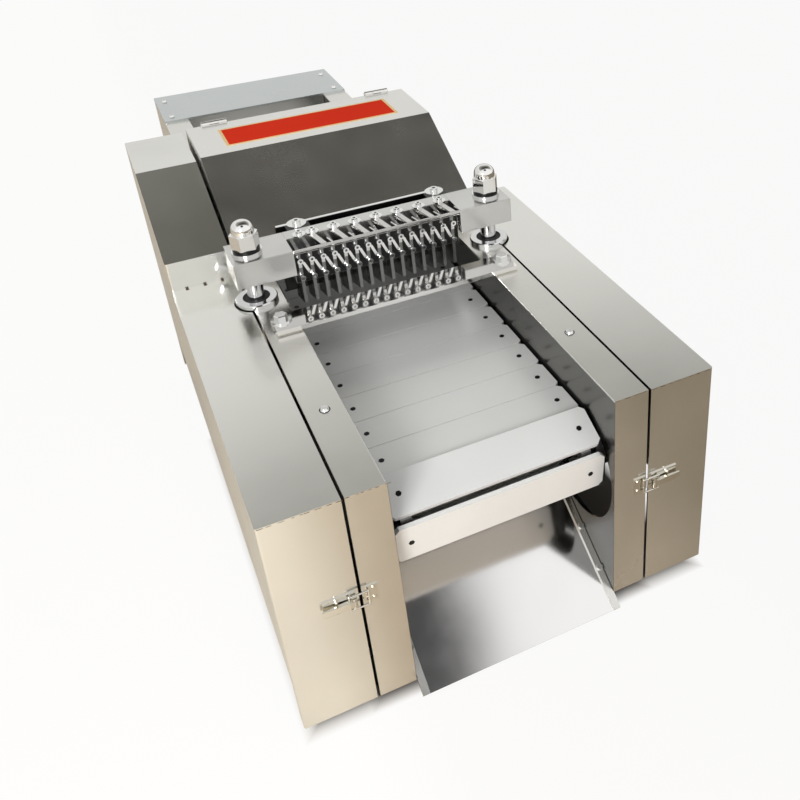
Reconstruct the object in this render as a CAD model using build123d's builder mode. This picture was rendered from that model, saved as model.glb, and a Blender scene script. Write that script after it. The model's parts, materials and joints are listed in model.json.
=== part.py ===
from build123d import *
import os
from math import asin, atan2, cos, degrees, pi, radians, sin, sqrt

# Frozen meat cutter: a slatted conveyor under a guillotine head with fifteen parallel knives.
# Millimetres. X runs across the machine, Y from the front (discharge) to the rear (feed), Z up.
# The origin is on the ground, in the middle of the width, under the front panels.
os.makedirs("parts", exist_ok=True)

# Driving sizes: body
WIDTH = 600.0
CHANNEL = 300.0
FRAME_WIDTH = 50.0
COVER_GAP = 4.0
BODY_HEIGHT = 345.0
PLINTH = 20.0
LENGTH = 1488.0
FRAME_SHEET = 3.0
COVER_SHEET = 2.5
SHEET_RADIUS = 2.0
COVER_DROP = 0.5

# Driving sizes: covers and hood
LEFT_COVER_LENGTH = 920.0
RIGHT_COVER_LENGTH = 650.0
SIDE_RECESS = 66.0
STEP_Y = 565.0
LEDGE_RISE = 47.0
TOWER_RISE = 117.0
TOWER_SLOPE_END = 770.0
HOOD_GAP = 5.0
HOOD_FRONT = 577.0
HOOD_BROW_RISE = 48.0
HOOD_RISE = 135.0
HOOD_SLOPE_END = 736.0
HOOD_REAR = 884.0
HOOD_SEAT_GAP = 1.0
REAR_BOX_DEPTH = 173.0

# Driving sizes: conveyor
DRUM_Y = 75.0
DRUM_DROP = 119.0
SLAT_PITCH = 60.0
SLATS_PER_TURN = 5
DRUM_REAR_ROOM = 63.0
SLAT_WIDTH = 59.0
SLAT_THICKNESS = 7.0
SLAT_SEAT_RADIUS = 47.0
SLAT_END_GAP = 4.0
SLAT_CORNER = 6.0
FIRST_SLAT_Y = 114.0
CHAIN_INSET = 24.0
CHAIN_WIDTH = 14.0
CHAIN_HEIGHT = 14.0
TOOTH_SLOT = 8.0
SPROCKET_THICKNESS = 6.0
SPROCKET_TEETH = 10
SHAFT_DIAMETER = 30.0

# Driving sizes: cutting head
KNIFE_COUNT = 15
KNIFE_PITCH = 17.4
KNIFE_THICKNESS = 5.0
KNIFE_DEPTH = 50.0
BEAM_OVERHANG = 27.5
BEAM_DEPTH = 70.0
BEAM_HEIGHT = 40.0
BEAM_Y = 475.0
BEAM_GAP = 43.0
POST_OFFSET = 40.0
POST_DIAMETER = 25.0
POST_THREAD = 24.0
STROKE = 70.0
CUT_CLEARANCE = 1.0
HOLD_Y = 358.0
HOLD_DEPTH = 45.0
HOLD_THICKNESS = 9.0
HOLD_OVERHANG = 37.0

# Driving sizes: drive
CRANK_DROP = 245.0
CRANK_DISC_RADIUS = 46.0
CRANK_PIN_DIAMETER = 16.0
ROD_LENGTH = 110.0
ROD_THICKNESS = 12.0
BEARING_PLATE = 8.0
MOTOR_DIAMETER = 136.0
MOTOR_Y = 874.0
GEARBOX_Y = 745.0

# Driving sizes: fits
RUN_FIT = 0.05
SLIP = 0.5
HINGE_PIN = 5.0
HINGE_BARREL = 9.0

# Places worked out from the driving sizes
FRAME_IN = CHANNEL / 2
FRAME_OUT = FRAME_IN + FRAME_WIDTH
COVER_IN = FRAME_OUT + COVER_GAP
COVER_OUT = WIDTH / 2
REAR_BOX_FRONT = LENGTH - REAR_BOX_DEPTH
FRAME_TOP = PLINTH + BODY_HEIGHT
COVER_TOP = FRAME_TOP - COVER_DROP
LEDGE_Z = FRAME_TOP + LEDGE_RISE
TOWER_TOP = FRAME_TOP + TOWER_RISE
HOOD_X = COVER_IN - HOOD_GAP
HOOD_BASE = FRAME_TOP + HOOD_SEAT_GAP
HOOD_BROW = FRAME_TOP + HOOD_BROW_RISE
HOOD_TOP = FRAME_TOP + HOOD_RISE

DRUM_Z = FRAME_TOP - DRUM_DROP
CHAIN_X = FRAME_IN - CHAIN_INSET
TURN_PATH = SLAT_PITCH * SLATS_PER_TURN
SLAT_COUNT = int((2 * (LENGTH - DRUM_REAR_ROOM - DRUM_Y) + TURN_PATH) / SLAT_PITCH)
RUN_LENGTH = (SLAT_COUNT * SLAT_PITCH - TURN_PATH) / 2
REAR_DRUM_Y = DRUM_Y + RUN_LENGTH
SLAT_TOP = DRUM_Z + SLAT_SEAT_RADIUS + SLAT_THICKNESS

KNIFE_XS = [(i - (KNIFE_COUNT - 1) / 2) * KNIFE_PITCH for i in range(KNIFE_COUNT)]
KNIFE_TIP = SLAT_TOP + CUT_CLEARANCE + STROKE / 2
HOLD_TOP = FRAME_TOP + HOLD_THICKNESS
POST_X = FRAME_IN + POST_OFFSET
BEAM_LENGTH = 2 * (POST_X + BEAM_OVERHANG)
BEAM_BOTTOM = FRAME_TOP + BEAM_GAP
BEAM_TOP = BEAM_BOTTOM + BEAM_HEIGHT
BEAM_FRONT = BEAM_Y - BEAM_DEPTH / 2
BEAM_REAR = BEAM_Y + BEAM_DEPTH / 2

KNIFE_FRONT = BEAM_FRONT + 16.0
KNIFE_REAR = KNIFE_FRONT + KNIFE_DEPTH

CRANK_Z = FRAME_TOP - CRANK_DROP
CRANK_RADIUS = STROKE / 2
WRIST_Z = CRANK_Z + sqrt(ROD_LENGTH**2 - CRANK_RADIUS**2)
PLATE_IN = FRAME_IN + FRAME_SHEET + 1.0
PLATE_OUT = PLATE_IN + BEARING_PLATE

SIDES = {"left": -1, "right": 1}


POST_CENTRES = [(side * POST_X, BEAM_Y) for side in SIDES.values()]


def save(part, name):
    """Label a finished piece and write it as one STEP file."""
    part.label = name
    export_step(part, f"parts/{name}.step")


def side_plane(x):
    """Sketch plane across the machine at x, with its own x along Y and its own y along Z."""
    return Plane(origin=(x, 0, 0), x_dir=(0, 1, 0), z_dir=(1, 0, 0))


# Base frame: two box rails under the side frames, cross rails, and a low one under the chute's lip
RAIL_INSET = 15.0
CROSS_RAIL_WIDTH = 40.0
LIP_RAIL_FRONT = -12.0
LIP_RAIL_REAR = 28.0
LIP_RAIL_HEIGHT = 8.0
CROSS_RAIL_YS = (250.0, BEAM_Y, MOTOR_Y, REAR_BOX_FRONT - 130.0, LENGTH - 48.0)
with BuildPart() as base_frame:
    with BuildSketch():
        for side in SIDES.values():
            with Locations((side * (FRAME_IN + FRAME_WIDTH / 2), LENGTH / 2)):
                Rectangle(FRAME_WIDTH - 2.0, LENGTH - 2 * RAIL_INSET)
        for cross_y in CROSS_RAIL_YS:
            with Locations((0, cross_y)):
                Rectangle(2 * FRAME_OUT - 10.0, CROSS_RAIL_WIDTH)
    extrude(amount=PLINTH)
    with BuildSketch():
        with Locations((0, (LIP_RAIL_FRONT + LIP_RAIL_REAR) / 2)):
            Rectangle(CHANNEL - 20.0, LIP_RAIL_REAR - LIP_RAIL_FRONT)
        with Locations((0, (RAIL_INSET + LIP_RAIL_REAR) / 2)):
            Rectangle(CHANNEL + 20.0, LIP_RAIL_REAR - RAIL_INSET)
    extrude(amount=LIP_RAIL_HEIGHT)
save(base_frame.part, "base_frame")

# Side frames: folded channels, open outwards
WINDOW_RADIUS = 98.0
WINDOW_FRONT = 6.0
WINDOW_REAR = 420.0
WINDOW_TOP_GAP = 5.0
WINDOW_Z = SLAT_TOP + WINDOW_TOP_GAP - WINDOW_RADIUS
BUSH_BODY = 44.0
BEARING_HOLE = 64.0
POST_HOLE = BUSH_BODY + 1.0
SHAFT_HOLE = 40.0
FRAME_SCREW_Y = 166.0
FRAME_SCREW_X = FRAME_IN + FRAME_WIDTH / 2
FRAME_MID_Z = PLINTH + BODY_HEIGHT / 2
HOLD_BOLT = 10.0
HOLD_BOLT_X = FRAME_IN + 24.0
HOLD_BOLT_Y = 388.0


def side_frame(side):
    """One folded channel, with its drum window, shaft holes and the holes in its top."""
    rear_end = Plane.XZ.offset(-(LENGTH - FRAME_SHEET))
    with BuildPart() as frame:
        with BuildSketch(rear_end):
            with Locations((side * (FRAME_IN + FRAME_WIDTH / 2), FRAME_MID_Z)):
                Rectangle(FRAME_WIDTH, BODY_HEIGHT)
        extrude(amount=LENGTH - 2 * FRAME_SHEET)
        inner_top = frame.edges().filter_by(Axis.Y).group_by(Axis.Z)[-1]
        fillet(inner_top.sort_by(Axis.X)[0 if side > 0 else -1], radius=SHEET_RADIUS)
        with BuildSketch(rear_end):
            with Locations((side * (FRAME_IN + FRAME_SHEET + FRAME_WIDTH / 2), FRAME_MID_Z)):
                Rectangle(FRAME_WIDTH, BODY_HEIGHT - 2 * FRAME_SHEET)
        extrude(amount=LENGTH - 2 * FRAME_SHEET, mode=Mode.SUBTRACT)
        with BuildSketch(side_plane(side * (FRAME_IN + FRAME_SHEET / 2))):
            with Locations(((WINDOW_FRONT + WINDOW_REAR) / 2, WINDOW_Z)):
                SlotOverall(WINDOW_REAR - WINDOW_FRONT, 2 * WINDOW_RADIUS)
            with Locations((REAR_DRUM_Y, DRUM_Z), (BEAM_Y, CRANK_Z)):
                Circle(BEARING_HOLE / 2)
            with Locations((GEARBOX_Y, CRANK_Z), (MOTOR_Y, CRANK_Z)):
                Circle(SHAFT_HOLE / 2)
        extrude(amount=2 * FRAME_SHEET, both=True, mode=Mode.SUBTRACT)
        with BuildSketch(Plane.XY.offset(FRAME_TOP)):
            with Locations((side * POST_X, BEAM_Y)):
                Circle(POST_HOLE / 2)
            with Locations((side * FRAME_SCREW_X, FRAME_SCREW_Y)):
                Circle(3.2)
            with Locations((side * HOLD_BOLT_X, HOLD_BOLT_Y)):
                Circle(HOLD_BOLT / 2)
        extrude(amount=-2 * FRAME_SHEET, mode=Mode.SUBTRACT)
    return frame.part


save(side_frame(-1), "left_frame")
save(side_frame(1), "right_frame")

# End panels: welded over both ends of each channel
with BuildPart() as end_panels:
    with BuildSketch(Plane.XZ, Plane.XZ.offset(-(LENGTH - FRAME_SHEET))):
        for side in SIDES.values():
            with Locations((side * (FRAME_IN + FRAME_WIDTH / 2), FRAME_MID_Z)):
                Rectangle(FRAME_WIDTH, BODY_HEIGHT)
    extrude(amount=-FRAME_SHEET)
save(end_panels.part, "end_panels")

# Side sheets: close each channel outwards behind its cover
COVER_HINGE_GAP = 5.0
with BuildPart() as side_sheets:
    for side, cover_length in ((-1, LEFT_COVER_LENGTH), (1, RIGHT_COVER_LENGTH)):
        sheet_front = cover_length + COVER_HINGE_GAP
        sheet_length = LENGTH - FRAME_SHEET - sheet_front
        with Locations((side * (FRAME_OUT - FRAME_SHEET / 2), sheet_front + sheet_length / 2, FRAME_MID_Z)):
            Box(FRAME_SHEET, sheet_length, BODY_HEIGHT - 2 * FRAME_SHEET)
save(side_sheets.part, "side_sheets")

# Rear box: the cross housing that joins the side frames over the rear drum
with BuildPart() as rear_box:
    with BuildSketch(Plane.XY.offset(PLINTH)):
        with Locations((0, (REAR_BOX_FRONT + LENGTH) / 2)):
            Rectangle(CHANNEL, REAR_BOX_DEPTH)
            Rectangle(CHANNEL - 2 * FRAME_SHEET, REAR_BOX_DEPTH - 2 * FRAME_SHEET, mode=Mode.SUBTRACT)
    extrude(amount=BODY_HEIGHT)
    run_gap = 2 * (SLAT_SEAT_RADIUS + SLAT_THICKNESS) + 20.0
    with Locations((0, REAR_BOX_FRONT, DRUM_Z)):
        Box(CHANNEL + 10.0, 4 * FRAME_SHEET, run_gap, mode=Mode.SUBTRACT)
    for side in SIDES.values():
        with Locations((side * FRAME_IN, REAR_DRUM_Y, DRUM_Z)):
            Cylinder(BEARING_HOLE / 2, 4 * FRAME_SHEET, rotation=(0, 90, 0), mode=Mode.SUBTRACT)
save(rear_box.part, "rear_box")

# Rear top plate and its four screws
REAR_PLATE = 4.0
REAR_SCREW_X = 182.0
REAR_SCREW_INSET = 27.0
rear_screw_ys = (REAR_BOX_FRONT + REAR_SCREW_INSET, LENGTH - REAR_SCREW_INSET - 10.0)
REAR_SCREWS = [(side * REAR_SCREW_X, y) for side in SIDES.values() for y in rear_screw_ys]
with BuildPart() as rear_top_plate:
    with BuildSketch(Plane.XY.offset(FRAME_TOP)):
        with Locations((0, (REAR_BOX_FRONT + LENGTH) / 2)):
            RectangleRounded(2 * FRAME_OUT + 1.0, REAR_BOX_DEPTH, 1.5)
        with Locations(*REAR_SCREWS):
            Circle(3.2, mode=Mode.SUBTRACT)
    extrude(amount=REAR_PLATE)
save(rear_top_plate.part, "rear_top_plate")

# Pan screws: two in the frame tops and four in the rear top plate
PAN_HEAD = 12.0
PAN_HEIGHT = 3.5
frame_screw_seats = [(side * FRAME_SCREW_X, FRAME_SCREW_Y, FRAME_TOP) for side in SIDES.values()]
rear_screw_seats = [(x, y, FRAME_TOP + REAR_PLATE) for x, y in REAR_SCREWS]
with BuildPart() as pan_screws:
    for seat in frame_screw_seats + rear_screw_seats:
        with Locations(seat):
            Cone(PAN_HEAD / 2, PAN_HEAD / 2 - 1.5, PAN_HEIGHT, align=(Align.CENTER, Align.CENTER, Align.MIN))
            Cylinder(3.0, 3.5, align=(Align.CENTER, Align.CENTER, Align.MAX))
            with Locations((0, 0, PAN_HEIGHT)):
                Box(5.0, 1.4, 2.4, mode=Mode.SUBTRACT)
                Box(1.4, 5.0, 2.4, mode=Mode.SUBTRACT)
save(pan_screws.part, "pan_screws")

# Bearing plates: carry the front drum shaft, the crankshaft and the post guides
PLATE_FRONT = 45.0
PLATE_REAR = 560.0
PLATE_TOP = 345.0
with BuildPart() as bearing_plates:
    plate_mid = (PLATE_IN + PLATE_OUT) / 2
    with BuildSketch(*[side_plane(side * plate_mid) for side in SIDES.values()]):
        with BuildLine():
            Polyline(
                (PLATE_FRONT, PLATE_TOP - 60.0),
                (PLATE_FRONT + 60.0, PLATE_TOP),
                (PLATE_REAR, PLATE_TOP),
                (PLATE_REAR, PLINTH + FRAME_SHEET),
                (BEAM_Y - 110.0, PLINTH + FRAME_SHEET),
                (PLATE_FRONT, DRUM_Z - 60.0),
                close=True,
            )
        make_face()
        with Locations((DRUM_Y, DRUM_Z), (BEAM_Y, CRANK_Z)):
            Circle(BEARING_HOLE / 2, mode=Mode.SUBTRACT)
    extrude(amount=BEARING_PLATE / 2, both=True)
save(bearing_plates.part, "bearing_plates")

# Flange bearings for both drum shafts and the crankshaft
BEARING_LENGTH = 22.0
BEARING_BODY = BEARING_HOLE - 2 * SLIP
BEARING_FLANGE = 80.0


def flange_bearing(side, y, z, seat_x, flange=BEARING_FLANGE):
    """A pillow of two discs, seated on the outer face of its plate at seat_x, with the shaft bore."""
    body_mid = side * (seat_x + 8.0 - BEARING_LENGTH / 2)
    with Locations((body_mid, y, z)):
        Cylinder(BEARING_BODY / 2, BEARING_LENGTH, rotation=(0, 90, 0))
    with Locations((side * (seat_x + 4.0), y, z)):
        Cylinder(flange / 2, 8.0, rotation=(0, 90, 0))
    with Locations((body_mid, y, z)):
        Cylinder(SHAFT_DIAMETER / 2 + RUN_FIT, 2 * BEARING_LENGTH, rotation=(0, 90, 0), mode=Mode.SUBTRACT)


with BuildPart() as flange_bearings:
    for side in SIDES.values():
        flange_bearing(side, DRUM_Y, DRUM_Z, PLATE_OUT, BEARING_FLANGE - 6.0)
        flange_bearing(side, REAR_DRUM_Y, DRUM_Z, FRAME_IN + FRAME_SHEET)
        flange_bearing(side, BEAM_Y, CRANK_Z, PLATE_OUT)
save(flange_bearings.part, "flange_bearings")

# Post guides: flanged bushes in the frame tops, fixed to the bearing plates
BUSH_FLANGE = 62.0
BUSH_FLANGE_HEIGHT = 7.0
BUSH_LENGTH = 78.0
SEAL_DIAMETER = 40.0
SEAL_DEPTH = 5.0
LUG_DEPTH = 38.0
with BuildPart() as post_guides:
    with BuildSketch(Plane.XY.offset(FRAME_TOP)):
        with Locations(*POST_CENTRES):
            Circle(BUSH_BODY / 2)
    extrude(amount=-BUSH_LENGTH)
    for side in SIDES.values():
        with Locations((side * (PLATE_OUT + POST_X) / 2, BEAM_Y, FRAME_TOP - BUSH_LENGTH / 2 - 8.0)):
            Box(POST_X - PLATE_OUT, LUG_DEPTH, 56.0)
    with BuildSketch(Plane.XY.offset(FRAME_TOP)):
        with Locations(*POST_CENTRES):
            Circle(BUSH_FLANGE / 2)
    extrude(amount=BUSH_FLANGE_HEIGHT)
    chamfer(post_guides.edges().group_by(Axis.Z)[-1], length=1.5)
    with Locations(*[(x, y, FRAME_TOP) for x, y in POST_CENTRES]):
        Cylinder(POST_DIAMETER / 2 + RUN_FIT, 3 * BUSH_LENGTH, mode=Mode.SUBTRACT)
    with Locations(*[(x, y, FRAME_TOP + BUSH_FLANGE_HEIGHT) for x, y in POST_CENTRES]):
        Cylinder(SEAL_DIAMETER / 2, 2 * SEAL_DEPTH, mode=Mode.SUBTRACT)
save(post_guides.part, "post_guides")

with BuildPart() as post_seals:
    with BuildSketch(Plane.XY.offset(FRAME_TOP + BUSH_FLANGE_HEIGHT - SEAL_DEPTH)):
        with Locations(*POST_CENTRES):
            Circle(SEAL_DIAMETER / 2)
            Circle(POST_DIAMETER / 2 + RUN_FIT, mode=Mode.SUBTRACT)
    extrude(amount=SEAL_DEPTH - 1.5)
save(post_seals.part, "post_seals")

# Hold-down plate: a polished bar across the frame tops in front of the knives
HOLD_BOLTS = [(side * HOLD_BOLT_X, HOLD_BOLT_Y) for side in SIDES.values()]
with BuildPart() as hold_down_plate:
    with BuildSketch(Plane.XY.offset(FRAME_TOP)):
        with Locations((0, HOLD_Y + HOLD_DEPTH / 2)):
            Rectangle(CHANNEL + 2 * HOLD_OVERHANG, HOLD_DEPTH)
        with Locations(*HOLD_BOLTS):
            Circle(HOLD_BOLT / 2, mode=Mode.SUBTRACT)
    extrude(amount=HOLD_THICKNESS)
    front_foot = hold_down_plate.edges().filter_by(Axis.X).group_by(Axis.Z)[0].sort_by(Axis.Y)[0]
    chamfer(front_foot, length=2.5)
save(hold_down_plate.part, "hold_down_plate")

HEX_FLATS = 17.0
HEX_HEIGHT = 7.0
HOLD_WASHER = 30.0
WASHER = 2.5
with BuildPart() as hold_down_washers:
    with BuildSketch(Plane.XY.offset(HOLD_TOP)):
        with Locations(*HOLD_BOLTS):
            Circle(HOLD_WASHER / 2)
            Circle(HOLD_BOLT / 2, mode=Mode.SUBTRACT)
    extrude(amount=WASHER)
save(hold_down_washers.part, "hold_down_washers")

with BuildPart() as hold_down_bolts:
    with BuildSketch(Plane.XY.offset(HOLD_TOP + WASHER)):
        with Locations(*HOLD_BOLTS):
            RegularPolygon(HEX_FLATS / 2, 6, major_radius=False)
    extrude(amount=HEX_HEIGHT)
    chamfer(hold_down_bolts.edges().group_by(Axis.Z)[-1], length=1.0)
    with BuildSketch(Plane.XY.offset(HOLD_TOP + WASHER)):
        with Locations(*HOLD_BOLTS):
            Circle(HOLD_BOLT / 2 - RUN_FIT)
    extrude(amount=-(WASHER + HOLD_THICKNESS + 12.0))
save(hold_down_bolts.part, "hold_down_bolts")

# Discharge chute: a polished sheet between the frames, on two bolted side strips
CHUTE_ANGLE = 32.0
CHUTE_LIP_Y = -18.0
CHUTE_LIP_Z = 6.0
CHUTE_LENGTH = 285.0
CHUTE_SHEET = 2.0
STRIP_WIDTH = 10.0
STRIP_HEIGHT = 4.0
CHUTE_PLANE = Plane(
    origin=(0, CHUTE_LIP_Y, CHUTE_LIP_Z),
    x_dir=(1, 0, 0),
    z_dir=(0, -sin(radians(CHUTE_ANGLE)), cos(radians(CHUTE_ANGLE))),
)
STRIP_X = FRAME_IN - STRIP_WIDTH / 2
CHUTE_BOLTS = [(side * STRIP_X, along) for side in SIDES.values() for along in (62.0, 126.0)]
with BuildPart() as chute:
    with BuildSketch(CHUTE_PLANE):
        with Locations((0, CHUTE_LENGTH / 2)):
            Rectangle(CHANNEL - 2 * SLIP, CHUTE_LENGTH)
        with Locations(*CHUTE_BOLTS):
            Circle(3.0, mode=Mode.SUBTRACT)
    extrude(amount=CHUTE_SHEET)
save(chute.part, "chute")

with BuildPart() as chute_strips:
    with BuildSketch(CHUTE_PLANE.offset(CHUTE_SHEET)):
        with Locations(*[(side * STRIP_X, CHUTE_LENGTH / 2) for side in SIDES.values()]):
            Rectangle(STRIP_WIDTH, CHUTE_LENGTH)
        with Locations(*CHUTE_BOLTS):
            Circle(3.0, mode=Mode.SUBTRACT)
    extrude(amount=STRIP_HEIGHT)
save(chute_strips.part, "chute_strips")

with BuildPart() as chute_bolts:
    with BuildSketch(CHUTE_PLANE.offset(CHUTE_SHEET + STRIP_HEIGHT)):
        with Locations(*CHUTE_BOLTS):
            RegularPolygon(4.5, 6)
    extrude(amount=4.0)
    with BuildSketch(CHUTE_PLANE.offset(CHUTE_SHEET + STRIP_HEIGHT)):
        with Locations(*CHUTE_BOLTS):
            Circle(3.0 - RUN_FIT)
    extrude(amount=-(CHUTE_SHEET + STRIP_HEIGHT + 4.0))
save(chute_bolts.part, "chute_bolts")

# Conveyor path: straight top run, rear turn, straight bottom run, front turn
TURN_RADIUS_PATH = TURN_PATH / 2 / pi


def path_frame(s):
    """Plane tangent to the slat seat at path length s, from above the front drum rearwards."""
    total = 2 * RUN_LENGTH + TURN_PATH
    s = s % total
    if s <= RUN_LENGTH:
        y, angle = DRUM_Y + s, 0.0
    elif s <= RUN_LENGTH + TURN_PATH / 2:
        y, angle = REAR_DRUM_Y, (s - RUN_LENGTH) / TURN_RADIUS_PATH
    elif s <= 2 * RUN_LENGTH + TURN_PATH / 2:
        y, angle = REAR_DRUM_Y - (s - RUN_LENGTH - TURN_PATH / 2), pi
    else:
        y, angle = DRUM_Y, pi + (s - 2 * RUN_LENGTH - TURN_PATH / 2) / TURN_RADIUS_PATH
    normal = (0, sin(angle), cos(angle))
    seat = (0, y + SLAT_SEAT_RADIUS * normal[1], DRUM_Z + SLAT_SEAT_RADIUS * normal[2])
    return Plane(origin=seat, x_dir=(1, 0, 0), z_dir=normal)


SLAT_PLANES = [path_frame(FIRST_SLAT_Y - DRUM_Y + i * SLAT_PITCH) for i in range(SLAT_COUNT)]
SLAT_LENGTH = CHANNEL - 2 * SLAT_END_GAP
with BuildPart() as conveyor_slats:
    with BuildSketch(*SLAT_PLANES):
        slat_outline = Rectangle(SLAT_LENGTH, SLAT_WIDTH)
        chamfer(slat_outline.vertices(), length=SLAT_CORNER)
    extrude(amount=SLAT_THICKNESS)
save(conveyor_slats.part, "conveyor_slats")

# Slat screws: one at each end of every slat, into the chain's attachment
SLAT_SCREW = 8.0
with BuildPart() as slat_screws:
    with BuildSketch(*[plane.offset(SLAT_THICKNESS) for plane in SLAT_PLANES]):
        with Locations((-CHAIN_X, 0), (CHAIN_X, 0)):
            RegularPolygon(SLAT_SCREW / 2, 6)
    extrude(amount=0.5)
save(slat_screws.part, "slat_screws")

# Conveyor chains: closed U-section loops, open inwards for the sprocket teeth
CHAIN_TOP = SLAT_SEAT_RADIUS
CHAIN_INNER = CHAIN_TOP - CHAIN_HEIGHT
CHAIN_WEB = 3.0
with BuildPart() as conveyor_chains:
    with BuildSketch(*[side_plane(side * CHAIN_X) for side in SIDES.values()]):
        with Locations(((DRUM_Y + REAR_DRUM_Y) / 2, DRUM_Z)):
            SlotOverall(RUN_LENGTH + 2 * CHAIN_TOP, 2 * CHAIN_TOP)
            SlotOverall(RUN_LENGTH + 2 * CHAIN_INNER, 2 * CHAIN_INNER, mode=Mode.SUBTRACT)
    extrude(amount=CHAIN_WIDTH / 2, both=True)
    with BuildSketch(*[side_plane(side * CHAIN_X) for side in SIDES.values()]):
        with Locations(((DRUM_Y + REAR_DRUM_Y) / 2, DRUM_Z)):
            SlotOverall(RUN_LENGTH + 2 * (CHAIN_TOP - CHAIN_WEB), 2 * (CHAIN_TOP - CHAIN_WEB))
    extrude(amount=TOOTH_SLOT / 2, both=True, mode=Mode.SUBTRACT)
save(conveyor_chains.part, "conveyor_chains")

# Conveyor bed: the plate that carries the slats under the knives, on cross bars
BED_THICKNESS = 8.0
BED_HALF = CHAIN_X - CHAIN_WIDTH / 2 - 8.0
BED_BAR = 20.0
BED_FRONT = DRUM_Y + 75.0
BED_REAR = REAR_DRUM_Y - 75.0
BED_TOP = DRUM_Z + SLAT_SEAT_RADIUS
BED_BARS = (BED_FRONT + 40.0, BEAM_Y + 30.0, HOOD_REAR - 9.0, BED_REAR - 60.0)
with BuildPart() as conveyor_bed:
    with Locations((0, (BED_FRONT + BED_REAR) / 2, BED_TOP - BED_THICKNESS / 2)):
        Box(2 * BED_HALF, BED_REAR - BED_FRONT, BED_THICKNESS)
    for bar_y in BED_BARS:
        with Locations((0, bar_y, DRUM_Z)):
            Box(2 * PLATE_IN if bar_y < WINDOW_REAR else CHANNEL, BED_BAR, BED_BAR)
        leg = BED_TOP - BED_THICKNESS - DRUM_Z - BED_BAR / 2
        with Locations((0, bar_y, DRUM_Z + BED_BAR / 2 + leg / 2)):
            Box(2 * BED_HALF - 20.0, 6.0, leg)
save(conveyor_bed.part, "conveyor_bed")

# Drum shafts: each with two chain sprockets; the rear one also carries the feed drive sprocket
SPROCKET_TIP = CHAIN_TOP - CHAIN_WEB - 1.0
SPROCKET_ROOT = SPROCKET_TIP - 9.0
SHAFT_END = PLATE_OUT + 10.0
FEED_X = FRAME_OUT - 12.0
FEED_LARGE = 44.0
FEED_SMALL = 24.0
DRIVE_X = -60.0
DRIVE_SPROCKET = 46.0
DRIVE_WIDTH = 7.0


def sprocket_outline(y, z, tip, root, teeth):
    """Outline of a sprocket about the point (y, z) of a side plane."""
    with Locations((y, z)):
        Circle(root)
        with PolarLocations(root - 2.0, teeth):
            tooth_width = 2 * pi * root / teeth * 0.6
            Trapezoid(tooth_width, tip - root + 2.0, 70, rotation=-90, align=(Align.CENTER, Align.MIN))


with BuildPart() as front_drum_shaft:
    with Locations((0, DRUM_Y, DRUM_Z)):
        Cylinder(SHAFT_DIAMETER / 2, 2 * SHAFT_END, rotation=(0, 90, 0))
    with BuildSketch(*[side_plane(side * CHAIN_X) for side in SIDES.values()]):
        sprocket_outline(DRUM_Y, DRUM_Z, SPROCKET_TIP, SPROCKET_ROOT, SPROCKET_TEETH)
    extrude(amount=SPROCKET_THICKNESS / 2, both=True)
save(front_drum_shaft.part, "front_drum_shaft")

with BuildPart() as rear_drum_shaft:
    with Locations((0, REAR_DRUM_Y, DRUM_Z)):
        Cylinder(SHAFT_DIAMETER / 2, 2 * SHAFT_END, rotation=(0, 90, 0))
    with Locations(((SHAFT_END + FEED_X + 4.0) / 2, REAR_DRUM_Y, DRUM_Z)):
        Cylinder(SHAFT_DIAMETER / 2, FEED_X + 4.0 - SHAFT_END, rotation=(0, 90, 0))
    with BuildSketch(*[side_plane(side * CHAIN_X) for side in SIDES.values()]):
        sprocket_outline(REAR_DRUM_Y, DRUM_Z, SPROCKET_TIP, SPROCKET_ROOT, SPROCKET_TEETH)
    extrude(amount=SPROCKET_THICKNESS / 2, both=True)
    with BuildSketch(side_plane(FEED_X)):
        sprocket_outline(REAR_DRUM_Y, DRUM_Z, FEED_LARGE, FEED_LARGE - 6.0, 22)
    extrude(amount=DRIVE_WIDTH / 2, both=True)
save(rear_drum_shaft.part, "rear_drum_shaft")

# Crankshaft: a cross shaft with a drive sprocket, and a disc and a crank pin at each end
DISC_IN = PLATE_OUT + 10.0
DISC_THICKNESS = 14.0
DISC_OUT = DISC_IN + DISC_THICKNESS
ROD_IN = POST_X + 13.0
ROD_OUT = ROD_IN + ROD_THICKNESS
PIN_END = ROD_OUT + 1.0
PIN_Y = BEAM_Y + CRANK_RADIUS
PIN_COLLAR = CRANK_PIN_DIAMETER / 2 + 4.0
with BuildPart() as crankshaft:
    with Locations((0, BEAM_Y, CRANK_Z)):
        Cylinder(SHAFT_DIAMETER / 2, 2 * DISC_OUT, rotation=(0, 90, 0))
    with BuildSketch(*[side_plane(side * (DISC_IN + DISC_THICKNESS / 2)) for side in SIDES.values()]):
        with Locations((BEAM_Y, CRANK_Z)):
            Circle(CRANK_DISC_RADIUS)
        with Locations((BEAM_Y - 30.0, CRANK_Z + 14.0), (BEAM_Y - 30.0, CRANK_Z - 14.0)):
            Circle(8.0, mode=Mode.SUBTRACT)
    extrude(amount=DISC_THICKNESS / 2, both=True)
    for side in SIDES.values():
        with Locations((side * (DISC_OUT + PIN_END) / 2, PIN_Y, CRANK_Z)):
            Cylinder(CRANK_PIN_DIAMETER / 2, PIN_END - DISC_OUT, rotation=(0, 90, 0))
        with Locations((side * (DISC_OUT + ROD_IN - 1.0) / 2, PIN_Y, CRANK_Z)):
            Cylinder(PIN_COLLAR, ROD_IN - 1.0 - DISC_OUT, rotation=(0, 90, 0))
        with Locations((side * (PIN_END + 2.0), PIN_Y, CRANK_Z)):
            Cylinder(PIN_COLLAR, 4.0, rotation=(0, 90, 0))
    with BuildSketch(side_plane(DRIVE_X)):
        sprocket_outline(BEAM_Y, CRANK_Z, DRIVE_SPROCKET, DRIVE_SPROCKET - 6.0, 20)
    extrude(amount=DRIVE_WIDTH / 2, both=True)
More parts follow.
